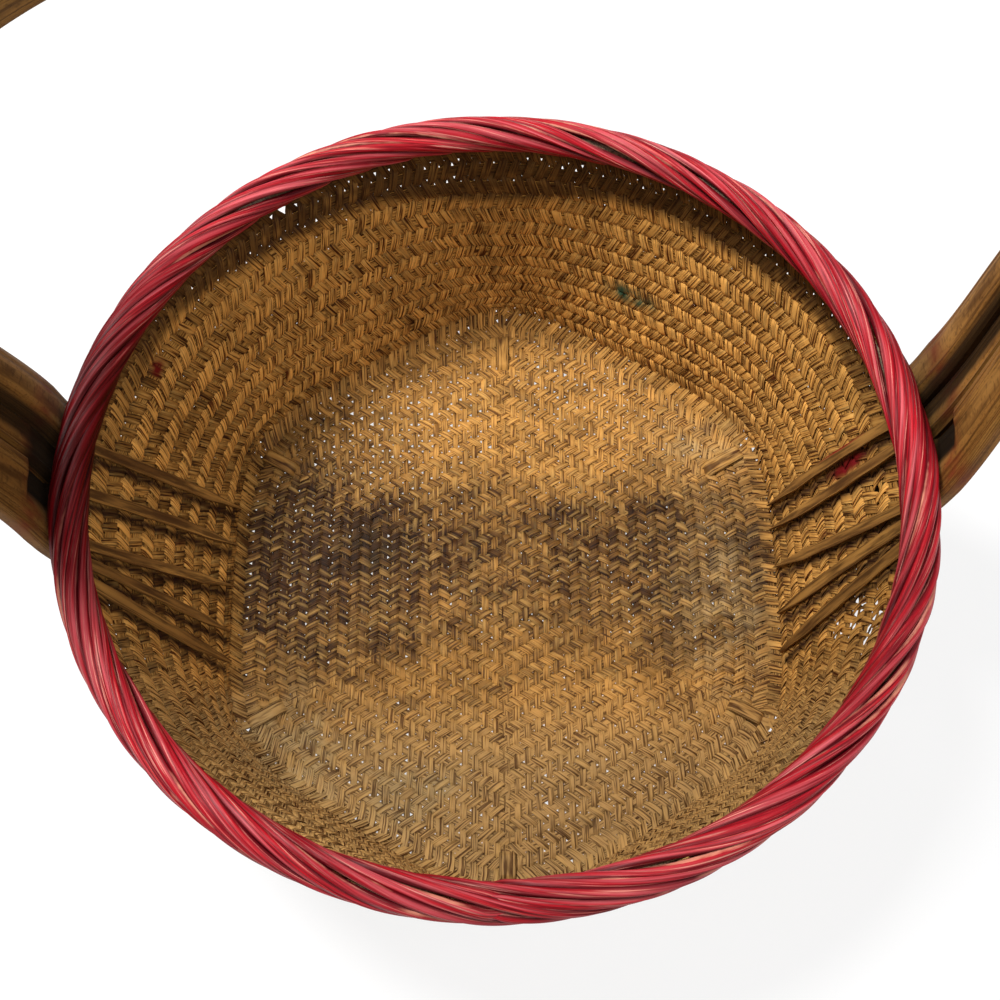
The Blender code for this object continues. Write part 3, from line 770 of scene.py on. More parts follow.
def cover(tree, base, *layers):
    """Lay colours, hex or sockets, over a base; a layer is (share, colour) and maybe a blend."""
    for share, tone, *blend in layers:
        node = add_node(tree, "ShaderNodeMix", data_type="RGBA")
        node.blend_type = blend[0] if blend else "MIX"
        for index, value in ((0, mask(tree, share)), (6, base), (7, tone)):
            value = linear(value) if isinstance(value, str) else value
            if isinstance(value, bpy.types.NodeSocket):
                tree.links.new(value, node.inputs[index])
            else:
                node.inputs[index].default_value = value
        base = node.outputs[2]
    return base


def streaks(tree, along, across, detail=2.0, vector=None):
    """Noise drawn out along a strand's length; the numbers are cycles per metre."""
    vector = vector or add_node(tree, "ShaderNodeUVMap", uv_map="strand").outputs[0]
    stretch = add_node(tree, "ShaderNodeMapping", [("Vector", vector)],
                       Scale=(along, across, 1.0))
    noise = add_node(tree, "ShaderNodeTexNoise", [("Vector", stretch.outputs[0])],
                     Scale=1.0, Detail=detail, Roughness=0.6)
    return noise.outputs[0]


def woven_bamboo():
    """Split bamboo, scraped and woven: long fibres, no gloss, browned unevenly by use, with painted
    light and shade laid in the same way.
    """
    tones = settings("basket_colours")
    made, tree = start_material("split_bamboo_woven", 0.68, 0.15)
    fibre = streaks(tree, 45, 1100)                  # fibres about 1 mm apart
    band = streaks(tree, 30, 420)
    # random tone, browning, and the painted light and shade carried with the browning
    spread = add_node(tree, "ShaderNodeMath", [(0, mask(tree, "tone")),
                                               (1, mask(tree, "wall", 0.0, 1.0, 0.30, 0.38)),
                                               (2, mask(tree, "age"))],
                      operation="MULTIPLY_ADD")
    browned_and_shaded = mask(tree, spread.outputs[0], 0.14, 1.10)
    cut = add_node(tree, "ShaderNodeMath", [(0, mask(tree, fibre, 0.46, 0.60)),
                                            (1, mask(tree, "wall", 0.0, 1.0, 0.85, 1.0))],
                   operation="MULTIPLY")
    # the painted shadow under the rim is on the inside only, where the normal points inwards
    place = add_node(tree, "ShaderNodeTexCoord").outputs["Object"]
    normal = add_node(tree, "ShaderNodeNewGeometry").outputs["Normal"]
    facing = add_node(tree, "ShaderNodeVectorMath", [(0, normal), (1, place)],
                      operation="DOT_PRODUCT").outputs["Value"]
    inside = add_node(tree, "ShaderNodeMath", [(0, mask(tree, facing, -0.02, 0.04, 0.86, 0.0)),
                                               (1, mask(tree, "band"))],
                      operation="MULTIPLY")
    base = cover(tree, tones.weave_light,
                 (browned_and_shaded, tones.weave_dark),
                 ("hoop", cover(tree, tones.hoop, (browned_and_shaded, "6E4A22"))),
                 ("dust", tones.dust),
                 (cut.outputs[0], "5A3A1C", "MULTIPLY"),
                 (mask(tree, band, 0.50, 0.70, 0.0, 0.38), "E8BE78"),
                 # painted light: the walls are painted lighter than the floor
                 (1.0, cover(tree, "DCD3BE", ("wall", "FFF5DC")), "MULTIPLY"),
                 # soot, then the painted shadows under the splints and, on the inside, under the
                 # rim
                 ("soot", tones.soot), ("shade", "240E06"), (inside.outputs[0], "341C0A"),
                 ("green", "2E4632"), ("red", "640C0E"))
    return finish_material(made, base, fibre, 0.8, 0.0004)


def stained_cane():
    """Cane stained red, wound wet: a waxy skin, rubbed pink on top and bare along its edges."""
    tones = settings("basket_colours")
    made, tree = start_material("cane_stained_red", 0.45, 0.12)
    fine = streaks(tree, 24, 1100, 3.0)              # fibres about 1 mm apart
    broad = streaks(tree, 9, 420)
    worn = add_node(tree, "ShaderNodeMath", [(0, mask(tree, "edge")),
                                             (1, streaks(tree, 26, 60, 4.0))],
                    operation="MULTIPLY")
    scratch = streaks(tree, 20, 1300, 4.0)
    base = cover(tree, tones.cane_dark,
                 (mask(tree, fine, 0.38, 0.56), tones.cane_red),
                 (mask(tree, broad, 0.48, 0.66, 0.0, 0.70), tones.cane_pink),
                 (mask(tree, "tone", 0.0, 1.0, 0.0, 0.45), "8A0E1C"),
                 # painted shade in the grooves where the canes press together
                 (mask(tree, "side", 0.56, 0.94, 0.0, 0.88), "4A040C"),
                 (mask(tree, worn.outputs[0], 0.46, 0.58, 0.0, 0.80), tones.cane_bare),
                 (mask(tree, scratch, 0.57, 0.68, 0.0, 0.70), "E89C8A"),
                 ("maroon", "6E2030", "MULTIPLY"))
    return finish_material(made, base, fine, 0.8, 0.0004)


def pole_bamboo():
    """Thick split bamboo, bent over heat and handled for years: dark, dull, long in the grain, with
    a painted highlight along its crests and painted shade in its grooves.
    """
    tones = settings("basket_colours")
    made, tree = start_material("bamboo_pole_split", 0.62, 0.10)
    fine = streaks(tree, 14, 900, 4.0)               # grain about 1 mm apart
    broad = streaks(tree, 6, 200, 3.0)
    mottle = streaks(tree, 60, 160, 3.0)
    speck = streaks(tree, 420, 1700)                 # pores and scratches, as fine as show
    base = cover(tree, tones.pole,
                 (mask(tree, broad, 0.35, 0.65, 0.0, 0.7), "A0743A"),
                 # painted highlight along the crest of the bars
                 ("polish", tones.pole_highlight),
                 (mask(tree, fine, 0.46, 0.62, 0.0, 0.80), "4A2C10"),
                 (mask(tree, mottle, 0.52, 0.72, 0.0, 0.45), "5E3C1A"),
                 (mask(tree, speck, 0.52, 0.66, 0.0, 0.45), "3C240E"),
                 # painted shade, with dark joints and grime
                 ("red", "7E2A1C"), ("groove", tones.pole_shade))
    dull = mask(tree, "groove", 0.2, 0.9, 0.62, 1.0)
    tree.links.new(dull, tree.nodes["Principled BSDF"].inputs["Roughness"])
    return finish_material(made, base, fine, 0.6, 0.0005)


def split_bamboo(name, light, dark):
    """Flat split bamboo, shaved and untreated: dull, with its fibres along its length."""
    made, tree = start_material(name, 0.62, 0.25)
    fine = streaks(tree, 24, 1000, 3.0)              # fibres about 1 mm apart
    broad = streaks(tree, 12, 300)
    base = cover(tree, dark,
                 (mask(tree, broad, 0.35, 0.65), light),
                 (mask(tree, fine, 0.44, 0.60, 0.0, 0.80), "3E240C"),
                 ("red", "7A0C12"))
    return finish_material(made, base, fine, 0.5, 0.0003)


def plain_cane(name, light, dark):
    """Bare cane, left rough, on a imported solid: the grain goes by its place, as it has no map."""
    made, tree = start_material(name, 0.6, 0.4)
    place = add_node(tree, "ShaderNodeTexCoord").outputs["Object"]
    grain = streaks(tree, 900, 900, 4.0, place)      # grain about 1 mm apart
    base = cover(tree, dark, (mask(tree, grain, 0.35, 0.65), light))
    return finish_material(made, base, grain, 0.4, 0.0003)


# Round and oval pieces


def lay_tube(name, rings, material, along, tone, marks):
    """A closed tube through rings of points, made from a cylinder cut into as many rings."""
    count, around = rings.shape[:2]
    mesh = bmesh.new()
    bmesh.ops.create_cone(mesh, cap_ends=True, cap_tris=False, segments=around, radius1=1.0,
                          radius2=1.0, depth=2.0)
    uprights = [edge for edge in mesh.edges
                if abs(edge.verts[0].co.z - edge.verts[1].co.z) > 1.0]
    bmesh.ops.subdivide_edges(mesh, edges=uprights, cuts=count - 2, use_grid_fill=True)
    data, flat = mesh_data(name, mesh)
    ring = np.rint((flat[:, 2] + 1) / 2 * (count - 1)).astype(int)
    turn = np.rint(np.arctan2(flat[:, 1], flat[:, 0]) / math.tau * around).astype(int) % around
    data.vertices.foreach_set("co", rings[ring, turn].astype(np.float32).ravel())
    girth = np.linalg.norm(rings - np.roll(rings, 1, axis=1), axis=2).sum(axis=1).mean()
    map_strand(data, along[ring], np.abs(turn / around - 0.5) * girth + tone * 3.7)
    paint(data, "tone", np.full(len(flat), tone))
    for mark, values in marks.items():
        paint(data, mark, values[ring, turn])
    fixed = bmesh.new()
    fixed.from_mesh(data)
    bmesh.ops.recalc_face_normals(fixed, faces=fixed.faces)
    fixed.to_mesh(data)
    fixed.free()
    data.shade_smooth()
    data.set_sharp_from_angle(angle=math.radians(50))
    return add_piece(name, data, material)


# Rim


def rim_frame(angle):
    """Points on the middle line of the rope and the level directions out from it."""
    body = settings("basket_body")
    reach = rim_reach(angle)
    point = np.stack([reach * np.cos(angle), reach * np.sin(angle),
                      np.full_like(angle, body.rim_height)], -1)
    outward = unit(np.stack([point[:, 0] / body.rim_half_width ** 2,
                             point[:, 1] / body.rim_half_depth ** 2,
                             np.zeros_like(angle)], -1))
    return point, outward


def cane_route(number):
    """Points of a cane, and the directions out from the rope's middle."""
    rim = settings("basket_rim")
    strands = rim.canes * rim.circuits
    travel = math.tau / (rim.turns + 1 / strands)
    crossing = math.radians(80)      # of each twist's turn, the part through the wall
    share = 0.035                    # of each twist's length that this part takes
    steps = 90                       # rings in one twist
    start = (number * rim.circuits + 0.5) / strands
    lap = rim.cane_overlap / settings("basket_body").rim_half_depth / travel
    end = start + rim.circuits * math.tau / travel
    twists = np.arange(start - lap / 2, end + lap / 2, 1 / steps)
    part = twists % 1.0
    wound = np.where(part < share, crossing * (part / share - 0.5),
                     crossing / 2 + (math.tau - crossing) * (part - share) / (1 - share))
    wound = averaged(wound + math.tau * np.floor(twists), 7, mode="reflect", reflect_type="odd")
    angle = -math.pi / 2 - (twists - start) * travel
    point, outward = rim_frame(angle)
    away = outward * np.sin(wound)[:, None] - UP * np.cos(wound)[:, None]
    buried = 1 - smooth((twists - twists[0]) / lap)
    return point, away, twists, angle, buried


def wind_cane(number, material):
    """One red cane, oval in section, with the small unevenness of hand winding."""
    rim = settings("basket_rim")
    rng = np.random.default_rng(20 + number)
    point, away, twists, angle, buried = cane_route(number)
    run = angle * 0.193              # metres round the rim
    sway = sum(np.sin(run / size + rng.uniform(0, 6)) for size in (0.021, 0.034, 0.055)) / 3
    rise = sum(np.sin(run / size + rng.uniform(0, 6)) for size in (0.017, 0.029)) / 2
    radial = np.stack([np.cos(angle), np.sin(angle), 0 * angle], -1)
    outside = np.clip(np.sum(away * radial, axis=1), 0, 1)
    loose = turned_share(angle, -22, 13) * outside
    raised = 0.0004 * rise - 0.0004 + 0.0015 * loose * (1 + rise) - 0.0030 * buried
    centre = point + away * (rim.winding_radius + raised)[:, None]
    tangent = heading(centre)
    side = unit(np.cross(tangent, away))
    out = np.cross(side, tangent)
    centre = centre + side * (0.0016 * sway)[:, None]
    around = 20
    turn = ring_turns(around)
    wide, high = np.cos(turn) / 2, np.sin(turn) / 2
    swell = 1 + 0.20 * np.sin(twists * 7.7 + rng.uniform(0, 6)) * np.sin(twists * 3.1)
    ending = smooth((twists[-1] - twists) / 0.05) * 0.6 + 0.4
    ridge = 0.00018 * np.sin(turn[None] * 5 + rng.uniform(0, 6)
                             + 0.6 * np.sin(run / 0.06)[:, None])
    width = rim.cane_width * swell * ending
    rings = (centre[:, None] + side[:, None] * (wide[None] * width[:, None])[..., None]
             + out[:, None] * (high[None] * rim.cane_height * ending[:, None]
                               + ridge)[..., None])
    # painted shade on the cane's sides, where it presses on its neighbours
    crease_shade = np.broadcast_to(np.abs(np.cos(turn))[None], rings.shape[:2])
    edge = np.clip(1.35 - np.abs(np.mod(turn - math.radians(35) + math.pi, math.tau)
                                 - math.pi) / 0.7, 0, 1)[None]
    edge = edge * np.clip(0.75 + 0.4 * np.sin(run / 0.07 + number), 0, 1)[:, None]
    # darker at the far left, at the right where the cane faces outward, and at the front
    maroon = (1.05 * turned_share(angle, 172, 26) + 0.75 * turned_share(angle, 10, 15) * outside
              + 0.35 * turned_share(angle, -95, 40))
    maroon = np.clip(maroon, 0, 1)[:, None] * np.ones((1, around))
    made = lay_tube(f"rim_cane_wound_{number + 1}", rings, material,
                    distance_along(centre), rng.uniform(0, 1),
                    {"side": crease_shade, "edge": edge, "maroon": maroon})
    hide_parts(f"rim_cane_{number + 1}")


# Handle


def handle_profile():
    """The handle's inner face in its own plane, from the left foot to the right, as (X, Z)."""
    body, handle = settings("basket_body"), settings("basket_handle")
    lean = handle.lean
    rise = np.array((math.sin(lean), math.cos(lean)))
    beside = np.array((body.rim_half_width + handle.rim_reach / math.cos(lean), body.rim_height))
    bend = beside - rise * (handle.bend_drop / rise[1])
    halves = []
    for side in (-1, 1):
        angle = np.array([0.0 if side > 0 else math.pi])
        foot_reach = abs(wall_at(angle, np.array([0.0]))[0, 0])
        head_reach = abs(wall_at(angle, np.array([1.0]))[0, 0])
        slope = math.atan2(head_reach - foot_reach, body.wall_head - wall_foot())
        foot = np.array((foot_reach + HALF_WEAVE / math.cos(slope) + TOUCH_GAP,
                         handle.foot_height))
        leg = unit(bend - foot)
        before = bend - leg * handle.bend_length
        after = bend + rise * handle.bend_length
        arch = bend + rise * ((handle.straight_top - bend[1]) / rise[1])
        radius = arch[0] / math.cos(lean)
        centre = arch[1] + radius * math.sin(lean)
        low = np.linspace(0, 1, 44)[:, None]
        turn = np.linspace(0, 1, 12)[:, None]
        curve = (before * (1 - turn) + bend * turn) * (1 - turn) + (
            bend * (1 - turn) + after * turn) * turn
        high = np.linspace(0, 1, 80)[:, None]
        arc = np.linspace(-lean, math.pi / 2, 90)
        half = np.concatenate([
            foot + (before - foot) * low[:-1],
            curve[:-1],
            after + (arch - after) * high[:-1],
            np.stack([radius * np.cos(arc), centre + radius * np.sin(arc)], -1)])
        half[:, 0] *= side
        halves.append(half)
    return np.concatenate([halves[0], halves[1][-2::-1]])


def bar_narrowing(height):
    """Width of the bars as a share of that at the rim."""
    body, handle = settings("basket_body"), settings("basket_handle")
    share = np.clip((height - body.rim_height) / handle.narrowing_height, 0, 1)
    return handle.narrowing + (1 - handle.narrowing) * (1 - share) ** 2


# Each joint's distance along a bar, and how far chance may move it
JOINTS = ((0.115, 0.01), (0.39, 0.03), (0.70, 0.03), (1.02, 0.02))
JOINT_DEPTH = 0.0004
POCKET = (0.1400, 0.1745, 0.0058)   # foot, head and depth of the worn pocket beside the rim


def bend_bar(name, node, middle, width, depth, shape, seed, material):
    """One bar of the handle, with the ridges of split bamboo along it and its joints across it.

    Shape gives, across the inner face from -1 to 1, how far the face falls away from its crest.
    """
    body, handle = settings("basket_body"), settings("basket_handle")
    rng = np.random.default_rng(seed)
    route = handle_profile()
    gone = distance_along(route)
    tangent = heading(route)
    outward = np.stack([-tangent[:, 1], np.zeros(len(route)), tangent[:, 0]], -1)
    risen = smooth((route[:, 1] - body.rim_height) / (handle.straight_top - body.rim_height))
    drift = handle.middle_y + (handle.skew + handle.twist * risen) * route[:, 0]
    place = np.stack([route[:, 0], drift, route[:, 1]], -1)
    turn = ring_turns(72, 0.5)
    flat, high = rounded(turn, 0.42), rounded(turn, 0.42, np.sin)
    inner = high < 0
    across = flat * width / 2
    level = depth / 2 + high * depth / 2
    level = np.where(inner, level + shape(flat) * np.abs(high), level)
    ridge = sum(np.sin(across * rng.uniform(900, 3000) + rng.uniform(0, 6)) for _ in range(4))
    ridge = 0.00010 * ridge * np.abs(high)
    level = level + np.where(inner, ridge, -ridge)
    share = bar_narrowing(place[:, 2])
    pinch = sum(np.exp(-((gone - along - rng.uniform(-spare, spare)) / 0.0014) ** 2)
                for along, spare in JOINTS)
    rings = place[:, None] + outward[:, None] * (handle.thickness - depth + level)[None, :, None]
    pinched = np.where(inner, JOINT_DEPTH, -JOINT_DEPTH)[None] * pinch[:, None]
    rings = rings + outward[:, None] * pinched[..., None]
    facing = {back_face: -flat, middle_face: np.abs(flat), front_face: flat}[shape]
    # painted shade in the grooves between the bars
    groove = np.broadcast_to(np.clip((facing - 0.90) / 0.10, 0, 1) * 0.8, rings.shape[:2])
    groove = np.maximum(groove, pinch[:, None] * 0.55)
    # painted shade on the side of each bar turned from the light
    shaded = {back_face: smooth((-0.40 - flat) / 0.40),
              middle_face: smooth((flat - 0.02) / 0.22),
              front_face: smooth((flat - 0.84) / 0.10)}[shape] * inner
    groove = np.maximum(groove, 0.88 * shaded[None])
    # painted shade and grime beside the rim, most on the left leg
    beside = 1 - smooth((place[:, 2] - body.rim_height - 0.010) / 0.022)
    left = place[:, 0] < 0
    grime_and_shade = np.where(shape is back_face, 0.35, np.where(left, 0.95, 0.45)) * beside
    low = smooth((flat + 0.1) / 0.5) if shape is front_face else np.ones_like(flat)
    groove = np.maximum(groove, grime_and_shade[:, None] * (low * inner)[None])
    # painted shade: the left leg, turned from the light, is darker all over
    dimmed = 0.22 if shape is back_face else 0.36       # the left half is darker all over
    groove = np.maximum(groove, np.where(left, dimmed, 0.0)[:, None])
    if shape is front_face:
        foot, head, sunk_by = POCKET
        sunk = (smooth((flat - 0.02) / 0.06)[None] * inner[None]
                * smooth((place[:, 2] - foot) / 0.003)[:, None]
                * smooth((head - place[:, 2]) / 0.003)[:, None])
        rings = rings + outward[:, None] * (sunk_by * sunk)[..., None]
        # painted shade deep in the worn pocket
        groove = np.maximum(groove, sunk * 0.97)
    rings[..., 1] += share[:, None] * (middle + across[None])
    rings[..., 1] += (0.0004 * np.sin(gone / 0.05 + rng.uniform(0, 6)))[:, None]
    scuffed = 0.6 + 0.5 * np.sin(across * 1100 + seed)[None] * np.sin(gone * 260 + seed)[:, None]
    red = np.clip(1 - np.abs(place[:, 2] - 0.166) / 0.016, 0, 1)[:, None] * scuffed * 0.7
    # painted highlight along each bar's crest, strongest on the back pole
    polish = np.exp(-((flat - 0.02) / 0.20) ** 2)[None] * (
        0.75 + 0.25 * np.sin(gone / 0.03 + seed))[:, None]
    polish = polish * (1.0 if shape is back_face else 0.35) * inner[None]
    made = lay_tube(name, rings, material, gone, rng.uniform(0, 1),
                    {"groove": np.clip(groove, 0, 1), "red": np.clip(red, 0, 1),
                     "polish": polish})
    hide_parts(node)


def back_face(flat):
    """A convex face that falls away evenly to both edges."""
    return 0.0030 * flat ** 2


def middle_face(flat):
    """A narrow ridge beside the front pole, and a hollow beside the back pole."""
    return 0.0010 - 0.0022 * np.exp(-((flat + 0.42) / 0.36) ** 4)


def front_face(flat):
    """Nearly flat, with two shallow lengthwise grooves."""
    return (0.0010 * flat ** 4 + 0.0009 * np.exp(-((flat + 0.35) / 0.05) ** 2)
            + 0.0007 * np.exp(-((flat + 0.68) / 0.04) ** 2))


# Each bar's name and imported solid, the Y of its middle, its width, depth, inner face and seed
BARS = (
    ("handle_bar_back", "handle_pole_back", 0.03260, 0.0252, 0.0100, back_face, 1),
    ("handle_bar_middle", "handle_slat_middle", 0.01020, 0.0187, 0.0050, middle_face, 2),
    ("handle_bar_front", "handle_pole_front", -0.01650, 0.0338, 0.0100, front_face, 3),
)

# Splints and slats


def flat_section(height):
    """A flat section with rounded edges, 1 wide."""
    turn = ring_turns(FLAT_AROUND, 0.5)
    return rounded(turn, 0.4) / 2, rounded(turn, 0.6, np.sin) * height / 2


def wall_angle(side, y, share):
    """The direction in which the wall, on the right (1) or left (-1), has this Y."""
    low = np.full_like(y, -math.pi / 2)
    high = np.full_like(y, math.pi / 2)
    for _ in range(40):
        middle = (low + high) / 2
        under = wall_at(middle, share)[:, 1] < y
        low = np.where(under, middle, low)
        high = np.where(under, high, middle)
    return low if side > 0 else math.pi - low


def lay_splint(number, side, top_y, foot_y, material):
    """One tapered splint against the wall, pointed where it meets the floor."""
    side_name = "right" if side > 0 else "left"
    rng = np.random.default_rng(90 + number + 10 * side)
    share = np.linspace(1.0, 0.0, SPLINT_POINTS)
    y = foot_y + (top_y - foot_y) * share
    bow = 0.0012 * np.sin(np.linspace(0, math.pi, SPLINT_POINTS)) * rng.uniform(-1, 1)
    angle = wall_angle(side, y + bow, share)
    inward = wall_inward(angle, share)
    height, ridges = 0.0017, 0.0002
    clear = HALF_WEAVE + 2 * TOUCH_GAP + height / 2      # the second gap is room for its ridges
    points = wall_at(angle, share) + inward * clear
    tangent = heading(points)
    across = unit(np.cross(inward, tangent))
    tip, full = 0.0008, 0.0062
    taper = np.clip((1 - np.linspace(0, 1, SPLINT_POINTS)) / 0.25, 0, 1)
    uneven = 1 + 0.05 * np.sin(np.linspace(0, 26, SPLINT_POINTS) + rng.uniform(0, 6))
    width = (tip + (full - tip) * taper) * uneven
    wide, high = flat_section(height)
    keel = ridges * np.sin(np.arange(FLAT_AROUND) * 2.7 + rng.uniform(0, 6))
    tilt = -0.0010 * wide * side * np.sign((across[30] * UP).sum() * side or 1.0)
    rings = (points[:, None] + across[:, None] * (width[:, None] * wide[None])[..., None]
             + inward[:, None] * (high + keel + tilt)[None, :, None])
    red = np.zeros(rings.shape[:2])
    if side > 0 and number == 1:
        red = red + np.clip(1.3 - np.abs(share - 0.64) / 0.15, 0, 1)[:, None]
        red = red * (np.cos(ring_turns(FLAT_AROUND)) < -0.1)[None]
    made = lay_tube(f"splint_{side_name}_{number}", rings, material,
                    distance_along(points), rng.uniform(0, 1), {"red": red})
    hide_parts(f"wall_splint_{side_name}_{number}")


def lay_slat(number, turn, material):
    """One slat under the floor, with its two ends up through the weave."""
    body = settings("basket_body")
    rng = np.random.default_rng(60 + number)
    lift = number * 0.0023       # over the slats below it, where they cross
    ground, tab_rise = 0.00101, 0.0050      # height of its middle, and how much more at a tab
    plain_width, tabs_from = 0.0088, 0.1275
    halves, levels, widths = [], [], []
    for start, end, wide in TABS[number]:
        # an end that ran on or dipped further would come out through the rounded fold
        half = np.concatenate([np.linspace(0, 0.126, 60),
                               np.linspace(tabs_from, end + 0.0010, 40)])
        rise = smooth((body.rise_outer - half) / (body.rise_outer - body.rise_inner))
        climb = smooth((half - start + 0.0040) / 0.0060)
        climb = climb * (1 - 0.30 * smooth((half - end + 0.0005) / 0.0020))
        halves.append(half)
        levels.append(ground + lift * rise + climb * tab_rise)
        widths.append(plain_width + (wide - plain_width) * smooth((half - tabs_from) / 0.006))
    reach = np.concatenate([-halves[1][:0:-1], halves[0]])
    level, width = (np.concatenate([far[:0:-1], near]) for near, far in (levels, widths))
    width = width + 0.0003 * np.sin(reach * 40 + rng.uniform(0, 6))
    points = np.stack([reach, np.zeros_like(reach), level], -1)
    tangent = heading(points)
    out = np.stack([-tangent[:, 2], np.zeros_like(reach), tangent[:, 0]], -1)
    wide, high = flat_section(0.0016)
    ridge = 0.00008 * np.sin(np.arange(FLAT_AROUND) * 3.1)
    rings = points[:, None] + out[:, None] * (high + ridge)[None, :, None]
    rings[..., 1] += width[:, None] * wide[None]
    cos, sin = math.cos(turn), math.sin(turn)
    x, y = rings[..., 0].copy(), rings[..., 1].copy()
    rings[..., 0] = body.floor_shift + x * cos - y * sin
    rings[..., 1] = x * sin + y * cos
    marks = {name: amount.reshape(rings.shape[:2])
             for name, amount in marks_at(rings.reshape(-1, 3)).items()}
    ends = np.broadcast_to(np.clip((np.abs(reach) - 0.120) / 0.01, 0, 1)[:, None],
                           rings.shape[:2])
    edges = 0.5 * np.abs(np.cos(ring_turns(FLAT_AROUND, 0.5))) ** 3 * ends
    # the side edges of its ends are darker, kept in the soot mark
    marks["soot"] = np.maximum(marks["soot"], edges)
    marks["hoop"] = 0.5 * ends
    made = lay_tube(f"slat_{number + 1}", rings, material,
                    distance_along(points), rng.uniform(0.2, 0.6), marks)
    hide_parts(f"base_slat_{number + 1}")


# Operators


class BASKET_OT_weave(bpy.types.Operator):
    """Weave the floor and the wall, strand by strand"""

    bl_idname = "basket.weave"
    bl_label = "Weave the body"

    def execute(self, context):
        weave = settings("basket_weave")
        material = woven_bamboo()
        rng = np.random.default_rng(weave.seed)
        reach = weave.strands_per_side - 1
        for family in range(3):
            for half, offsets in enumerate((range(-reach, 0), range(0, reach + 1))):
                strips = []
                for offset in offsets:
                    points, normals, lifts, lean = strand_route(family, offset)
                    blend = averaged(np.abs(lean), 9)
                    width = weave.floor_width + (weave.wall_width - weave.floor_width) * blend
                    width = width - 0.0005 * openness(points) + 0.0012 * fold_closeness(points)
                    width = np.maximum(width, 0.0014)
                    strips.append(strand_strip(points, normals, lifts, width, lean, rng))
                if half:
                    for corner in (family, family + 3):
                        place = float(weave.strands_per_side * corner)
                        points, normals, lifts = wall_run(place, 0.5, 1)
                        width = np.full(len(points), weave.wall_width)
                        lean = np.ones(len(points))
                        strips.append(strand_strip(points, normals, lifts, width, lean, rng))
                name = f"weave_strands_{family * 2 + half + 1}"
                made = lay_strips(name, strips, material)
                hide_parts("woven_body")
        strips = []
        for row in range(0, weave.wall_rows + 1):
            start = rng.uniform(0, 6 * weave.strands_per_side)
            place = start + np.linspace(0, 6 * weave.strands_per_side * 1.004, 480)
            rows = np.full_like(place, float(row)) + 0.03 * np.sin(place * 0.4)
            angle, share = wall_place(place, np.maximum(rows, 0.02))
            points = wall_at(angle, share)
            normals = wall_inward(angle, share)
            lifts = 0.12 * np.sin(place * 2 * math.pi + 1)[:, None] * np.ones((1, 3))
            over, under = (wall_at(*wall_place(place, np.maximum(rows + k, 0.02)))
                           for k in (0.5, -0.5))
            height = np.linalg.norm(over - under, axis=-1) / (0.98 if row else 0.5)
            width = np.maximum(height * weave.hoop_share - 0.0011 * openness(points), 0.0010)
            lean = np.zeros(len(points))
            strips.append(strand_strip(points, normals, lifts, width, lean, rng, hoop=True))
        made = lay_strips("weave_hoops", strips, material)
        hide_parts("woven_body")
        return {"FINISHED"}


class BASKET_OT_wind_rim(bpy.types.Operator):
    """Wind the red canes round the hoops"""

    bl_idname = "basket.wind_rim"
    bl_label = "Wind the rim"

    def execute(self, context):
        material = stained_cane()
        for number in range(settings("basket_rim").canes):
            wind_cane(number, material)
        hoop = plain_cane("cane_bare_weathered", "7C6248", "3C281A")
        for node in ("rim_hoop_outer", "rim_hoop_inner"):
            finish_node(node, hoop)
        return {"FINISHED"}


class BASKET_OT_bend_handle(bpy.types.Operator):
    """Bend the three bars of the handle"""

    bl_idname = "basket.bend_handle"
    bl_label = "Bend the handle"

    def execute(self, context):
        material = pole_bamboo()
        for bar in BARS:
            bend_bar(*bar, material)
        # painted shade: the straps are painted dark brown for the shade they sit in
        strap = plain_cane("cane_strap_dark_for_shade", "4E3418", "21140A")
        for node in sorted(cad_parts):
            if "strap" in node:
                finish_node(node, strap)
        return {"FINISHED"}


class BASKET_OT_lay_splints(bpy.types.Operator):
    """Lay the splints inside the wall and the slats under the floor"""

    bl_idname = "basket.lay_splints"
    bl_label = "Lay splints and slats"

    def execute(self, context):
        splint = split_bamboo("bamboo_splint", "A87A3C", "6A4620")
        for side, ends in SPLINTS.items():
            for number, (top_y, foot_y) in enumerate(ends, start=1):
                lay_splint(number, side, top_y, foot_y, splint)
        slat = bpy.data.materials["split_bamboo_woven"]
        for number, turn in enumerate((math.pi / 2, math.pi / 6, 5 * math.pi / 6)):
            lay_slat(number, turn, slat)
        return {"FINISHED"}


def finish_node(node, material):
    """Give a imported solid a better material."""
    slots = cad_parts[node].data.materials
    if len(slots) == 0:
        slots.append(material)
    for index in range(len(slots)):
        slots[index] = material


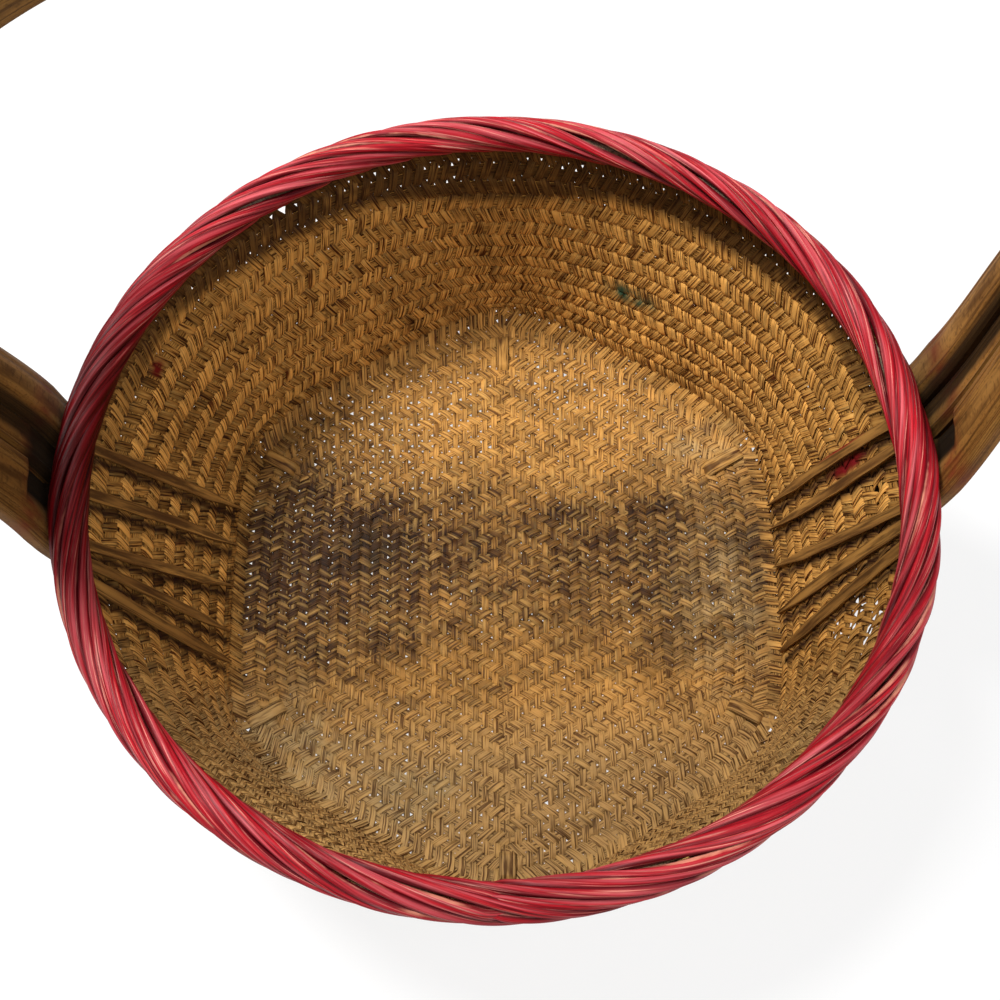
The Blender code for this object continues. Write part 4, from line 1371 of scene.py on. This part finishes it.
class BASKET_OT_set_stage(bpy.types.Operator):
    """Set the floor, the lamps and the camera"""

    bl_idname = "basket.set_stage"
    bl_label = "Set the stage"

    def execute(self, context):
        mesh = bmesh.new()
        bmesh.ops.create_circle(mesh, cap_ends=True, segments=96, radius=12.0)
        bmesh.ops.translate(mesh, vec=(0.0, 0.0, -0.0003), verts=mesh.verts)
        data, _ = mesh_data("studio_floor", mesh)
        floor = add_object("studio_floor", data)
        data.materials.append(studio_floor())

        light_world(context.scene)
        for name, place, size, power in LAMPS:
            lamp = bpy.data.lights.new(name, "AREA")
            lamp.shape = "DISK"
            lamp.size = size
            lamp.energy = power
            holder = add_object(name, lamp)
            holder.location = place
            aim = (LAMP_AIM - Vector(place)).to_track_quat("-Z", "Y")
            holder.rotation_euler = aim.to_euler()

        camera = bpy.data.cameras.new("photo_camera")
        camera.sensor_width = 36.0
        camera.lens = CAMERA_LENS
        camera.clip_end = 100.0
        holder = add_object("photo_camera", camera)
        yaw, pitch, roll = (math.radians(turn) for turn in CAMERA_TURNS)
        ahead = Vector((math.sin(yaw) * math.cos(pitch), math.cos(yaw) * math.cos(pitch),
                        -math.sin(pitch)))
        right = Vector((math.cos(yaw), -math.sin(yaw), 0.0))
        over = right.cross(ahead)
        turned = right * math.cos(roll) + over * math.sin(roll)
        over = over * math.cos(roll) - right * math.sin(roll)
        rows = Matrix((turned, over, -ahead)).transposed().to_4x4()
        rows.translation = CAMERA_PLACE
        holder.matrix_world = rows
        context.scene.camera = holder
        context.scene.view_settings.view_transform = "Standard"
        return {"FINISHED"}


def studio_floor():
    """White studio paper: the camera sees it white, and the basket's shadow stays on it."""
    made = bpy.data.materials.new("studio_paper_white")
    made.use_nodes = True
    tree = made.node_tree
    tree.nodes.clear()
    path = add_node(tree, "ShaderNodeLightPath")
    seen = add_node(tree, "ShaderNodeMath", [(0, path.outputs["Is Camera Ray"]),
                                             (1, path.outputs["Is Glossy Ray"])],
                    operation="MAXIMUM")
    place = add_node(tree, "ShaderNodeTexCoord").outputs["Object"]
    away = add_node(tree, "ShaderNodeVectorMath", [(0, place)], operation="LENGTH")
    share = mask(tree, away.outputs["Value"], 0.35, 1.1, 0.80, 1.0)
    part = add_node(tree, "ShaderNodeMath", [(0, seen.outputs[0]), (1, share)],
                    operation="MULTIPLY")
    glow = add_node(tree, "ShaderNodeEmission", Color=(1.0, 1.0, 1.0, 1.0), Strength=1.0)
    paper = add_node(tree, "ShaderNodeBsdfDiffuse", Color=(0.86, 0.86, 0.86, 1.0))
    blend = add_node(tree, "ShaderNodeMixShader",
                     [(0, part.outputs[0]), (1, paper.outputs[0]), (2, glow.outputs[0])])
    add_node(tree, "ShaderNodeOutputMaterial", [("Surface", blend.outputs[0])])
    return made


def light_world(scene):
    """A soft even light from all round, and plain white where the camera looks past the floor."""
    world = bpy.data.worlds.new("studio")
    world.use_nodes = True
    tree = world.node_tree
    tree.nodes.clear()
    path = add_node(tree, "ShaderNodeLightPath")
    level = mask(tree, path.outputs["Is Camera Ray"], 0.0, 1.0, 0.30, 1.0)
    sky = add_node(tree, "ShaderNodeBackground", [("Strength", level)],
                   Color=(1.0, 1.0, 1.0, 1.0))
    add_node(tree, "ShaderNodeOutputWorld", [("Surface", sky.outputs[0])])
    scene.world = world


OPERATORS = (BASKET_OT_weave, BASKET_OT_wind_rim, BASKET_OT_bend_handle,
             BASKET_OT_lay_splints, BASKET_OT_set_stage)


class BASKET_PT_pieces(bpy.types.Panel):
    """The basket's pieces, one button each"""

    bl_idname = "BASKET_PT_pieces"
    bl_label = "Basket"
    bl_space_type = "VIEW_3D"
    bl_region_type = "UI"
    bl_category = "Basket"

    def draw(self, context):
        for operator in OPERATORS:
            self.layout.operator(operator.bl_idname)
        for group in GROUPS:
            box = self.layout.box()
            for name in GROUPS[group].__annotations__:
                box.prop(getattr(context.scene, group), name)


def register():
    for group in GROUPS.values():
        bpy.utils.register_class(group)
    for operator in OPERATORS:
        bpy.utils.register_class(operator)
    bpy.utils.register_class(BASKET_PT_pieces)
    for name, group in GROUPS.items():
        setattr(bpy.types.Scene, name, PointerProperty(type=group))


def unregister():
    for name in GROUPS:
        delattr(bpy.types.Scene, name)
    bpy.utils.unregister_class(BASKET_PT_pieces)
    for operator in reversed(OPERATORS):
        bpy.utils.unregister_class(operator)
    for group in reversed(GROUPS.values()):
        bpy.utils.unregister_class(group)


def main():
    register()
    bpy.ops.basket.weave()
    bpy.ops.basket.wind_rim()
    bpy.ops.basket.bend_handle()
    bpy.ops.basket.lay_splints()
    bpy.ops.basket.set_stage()


if __name__ == "__main__":
    main()
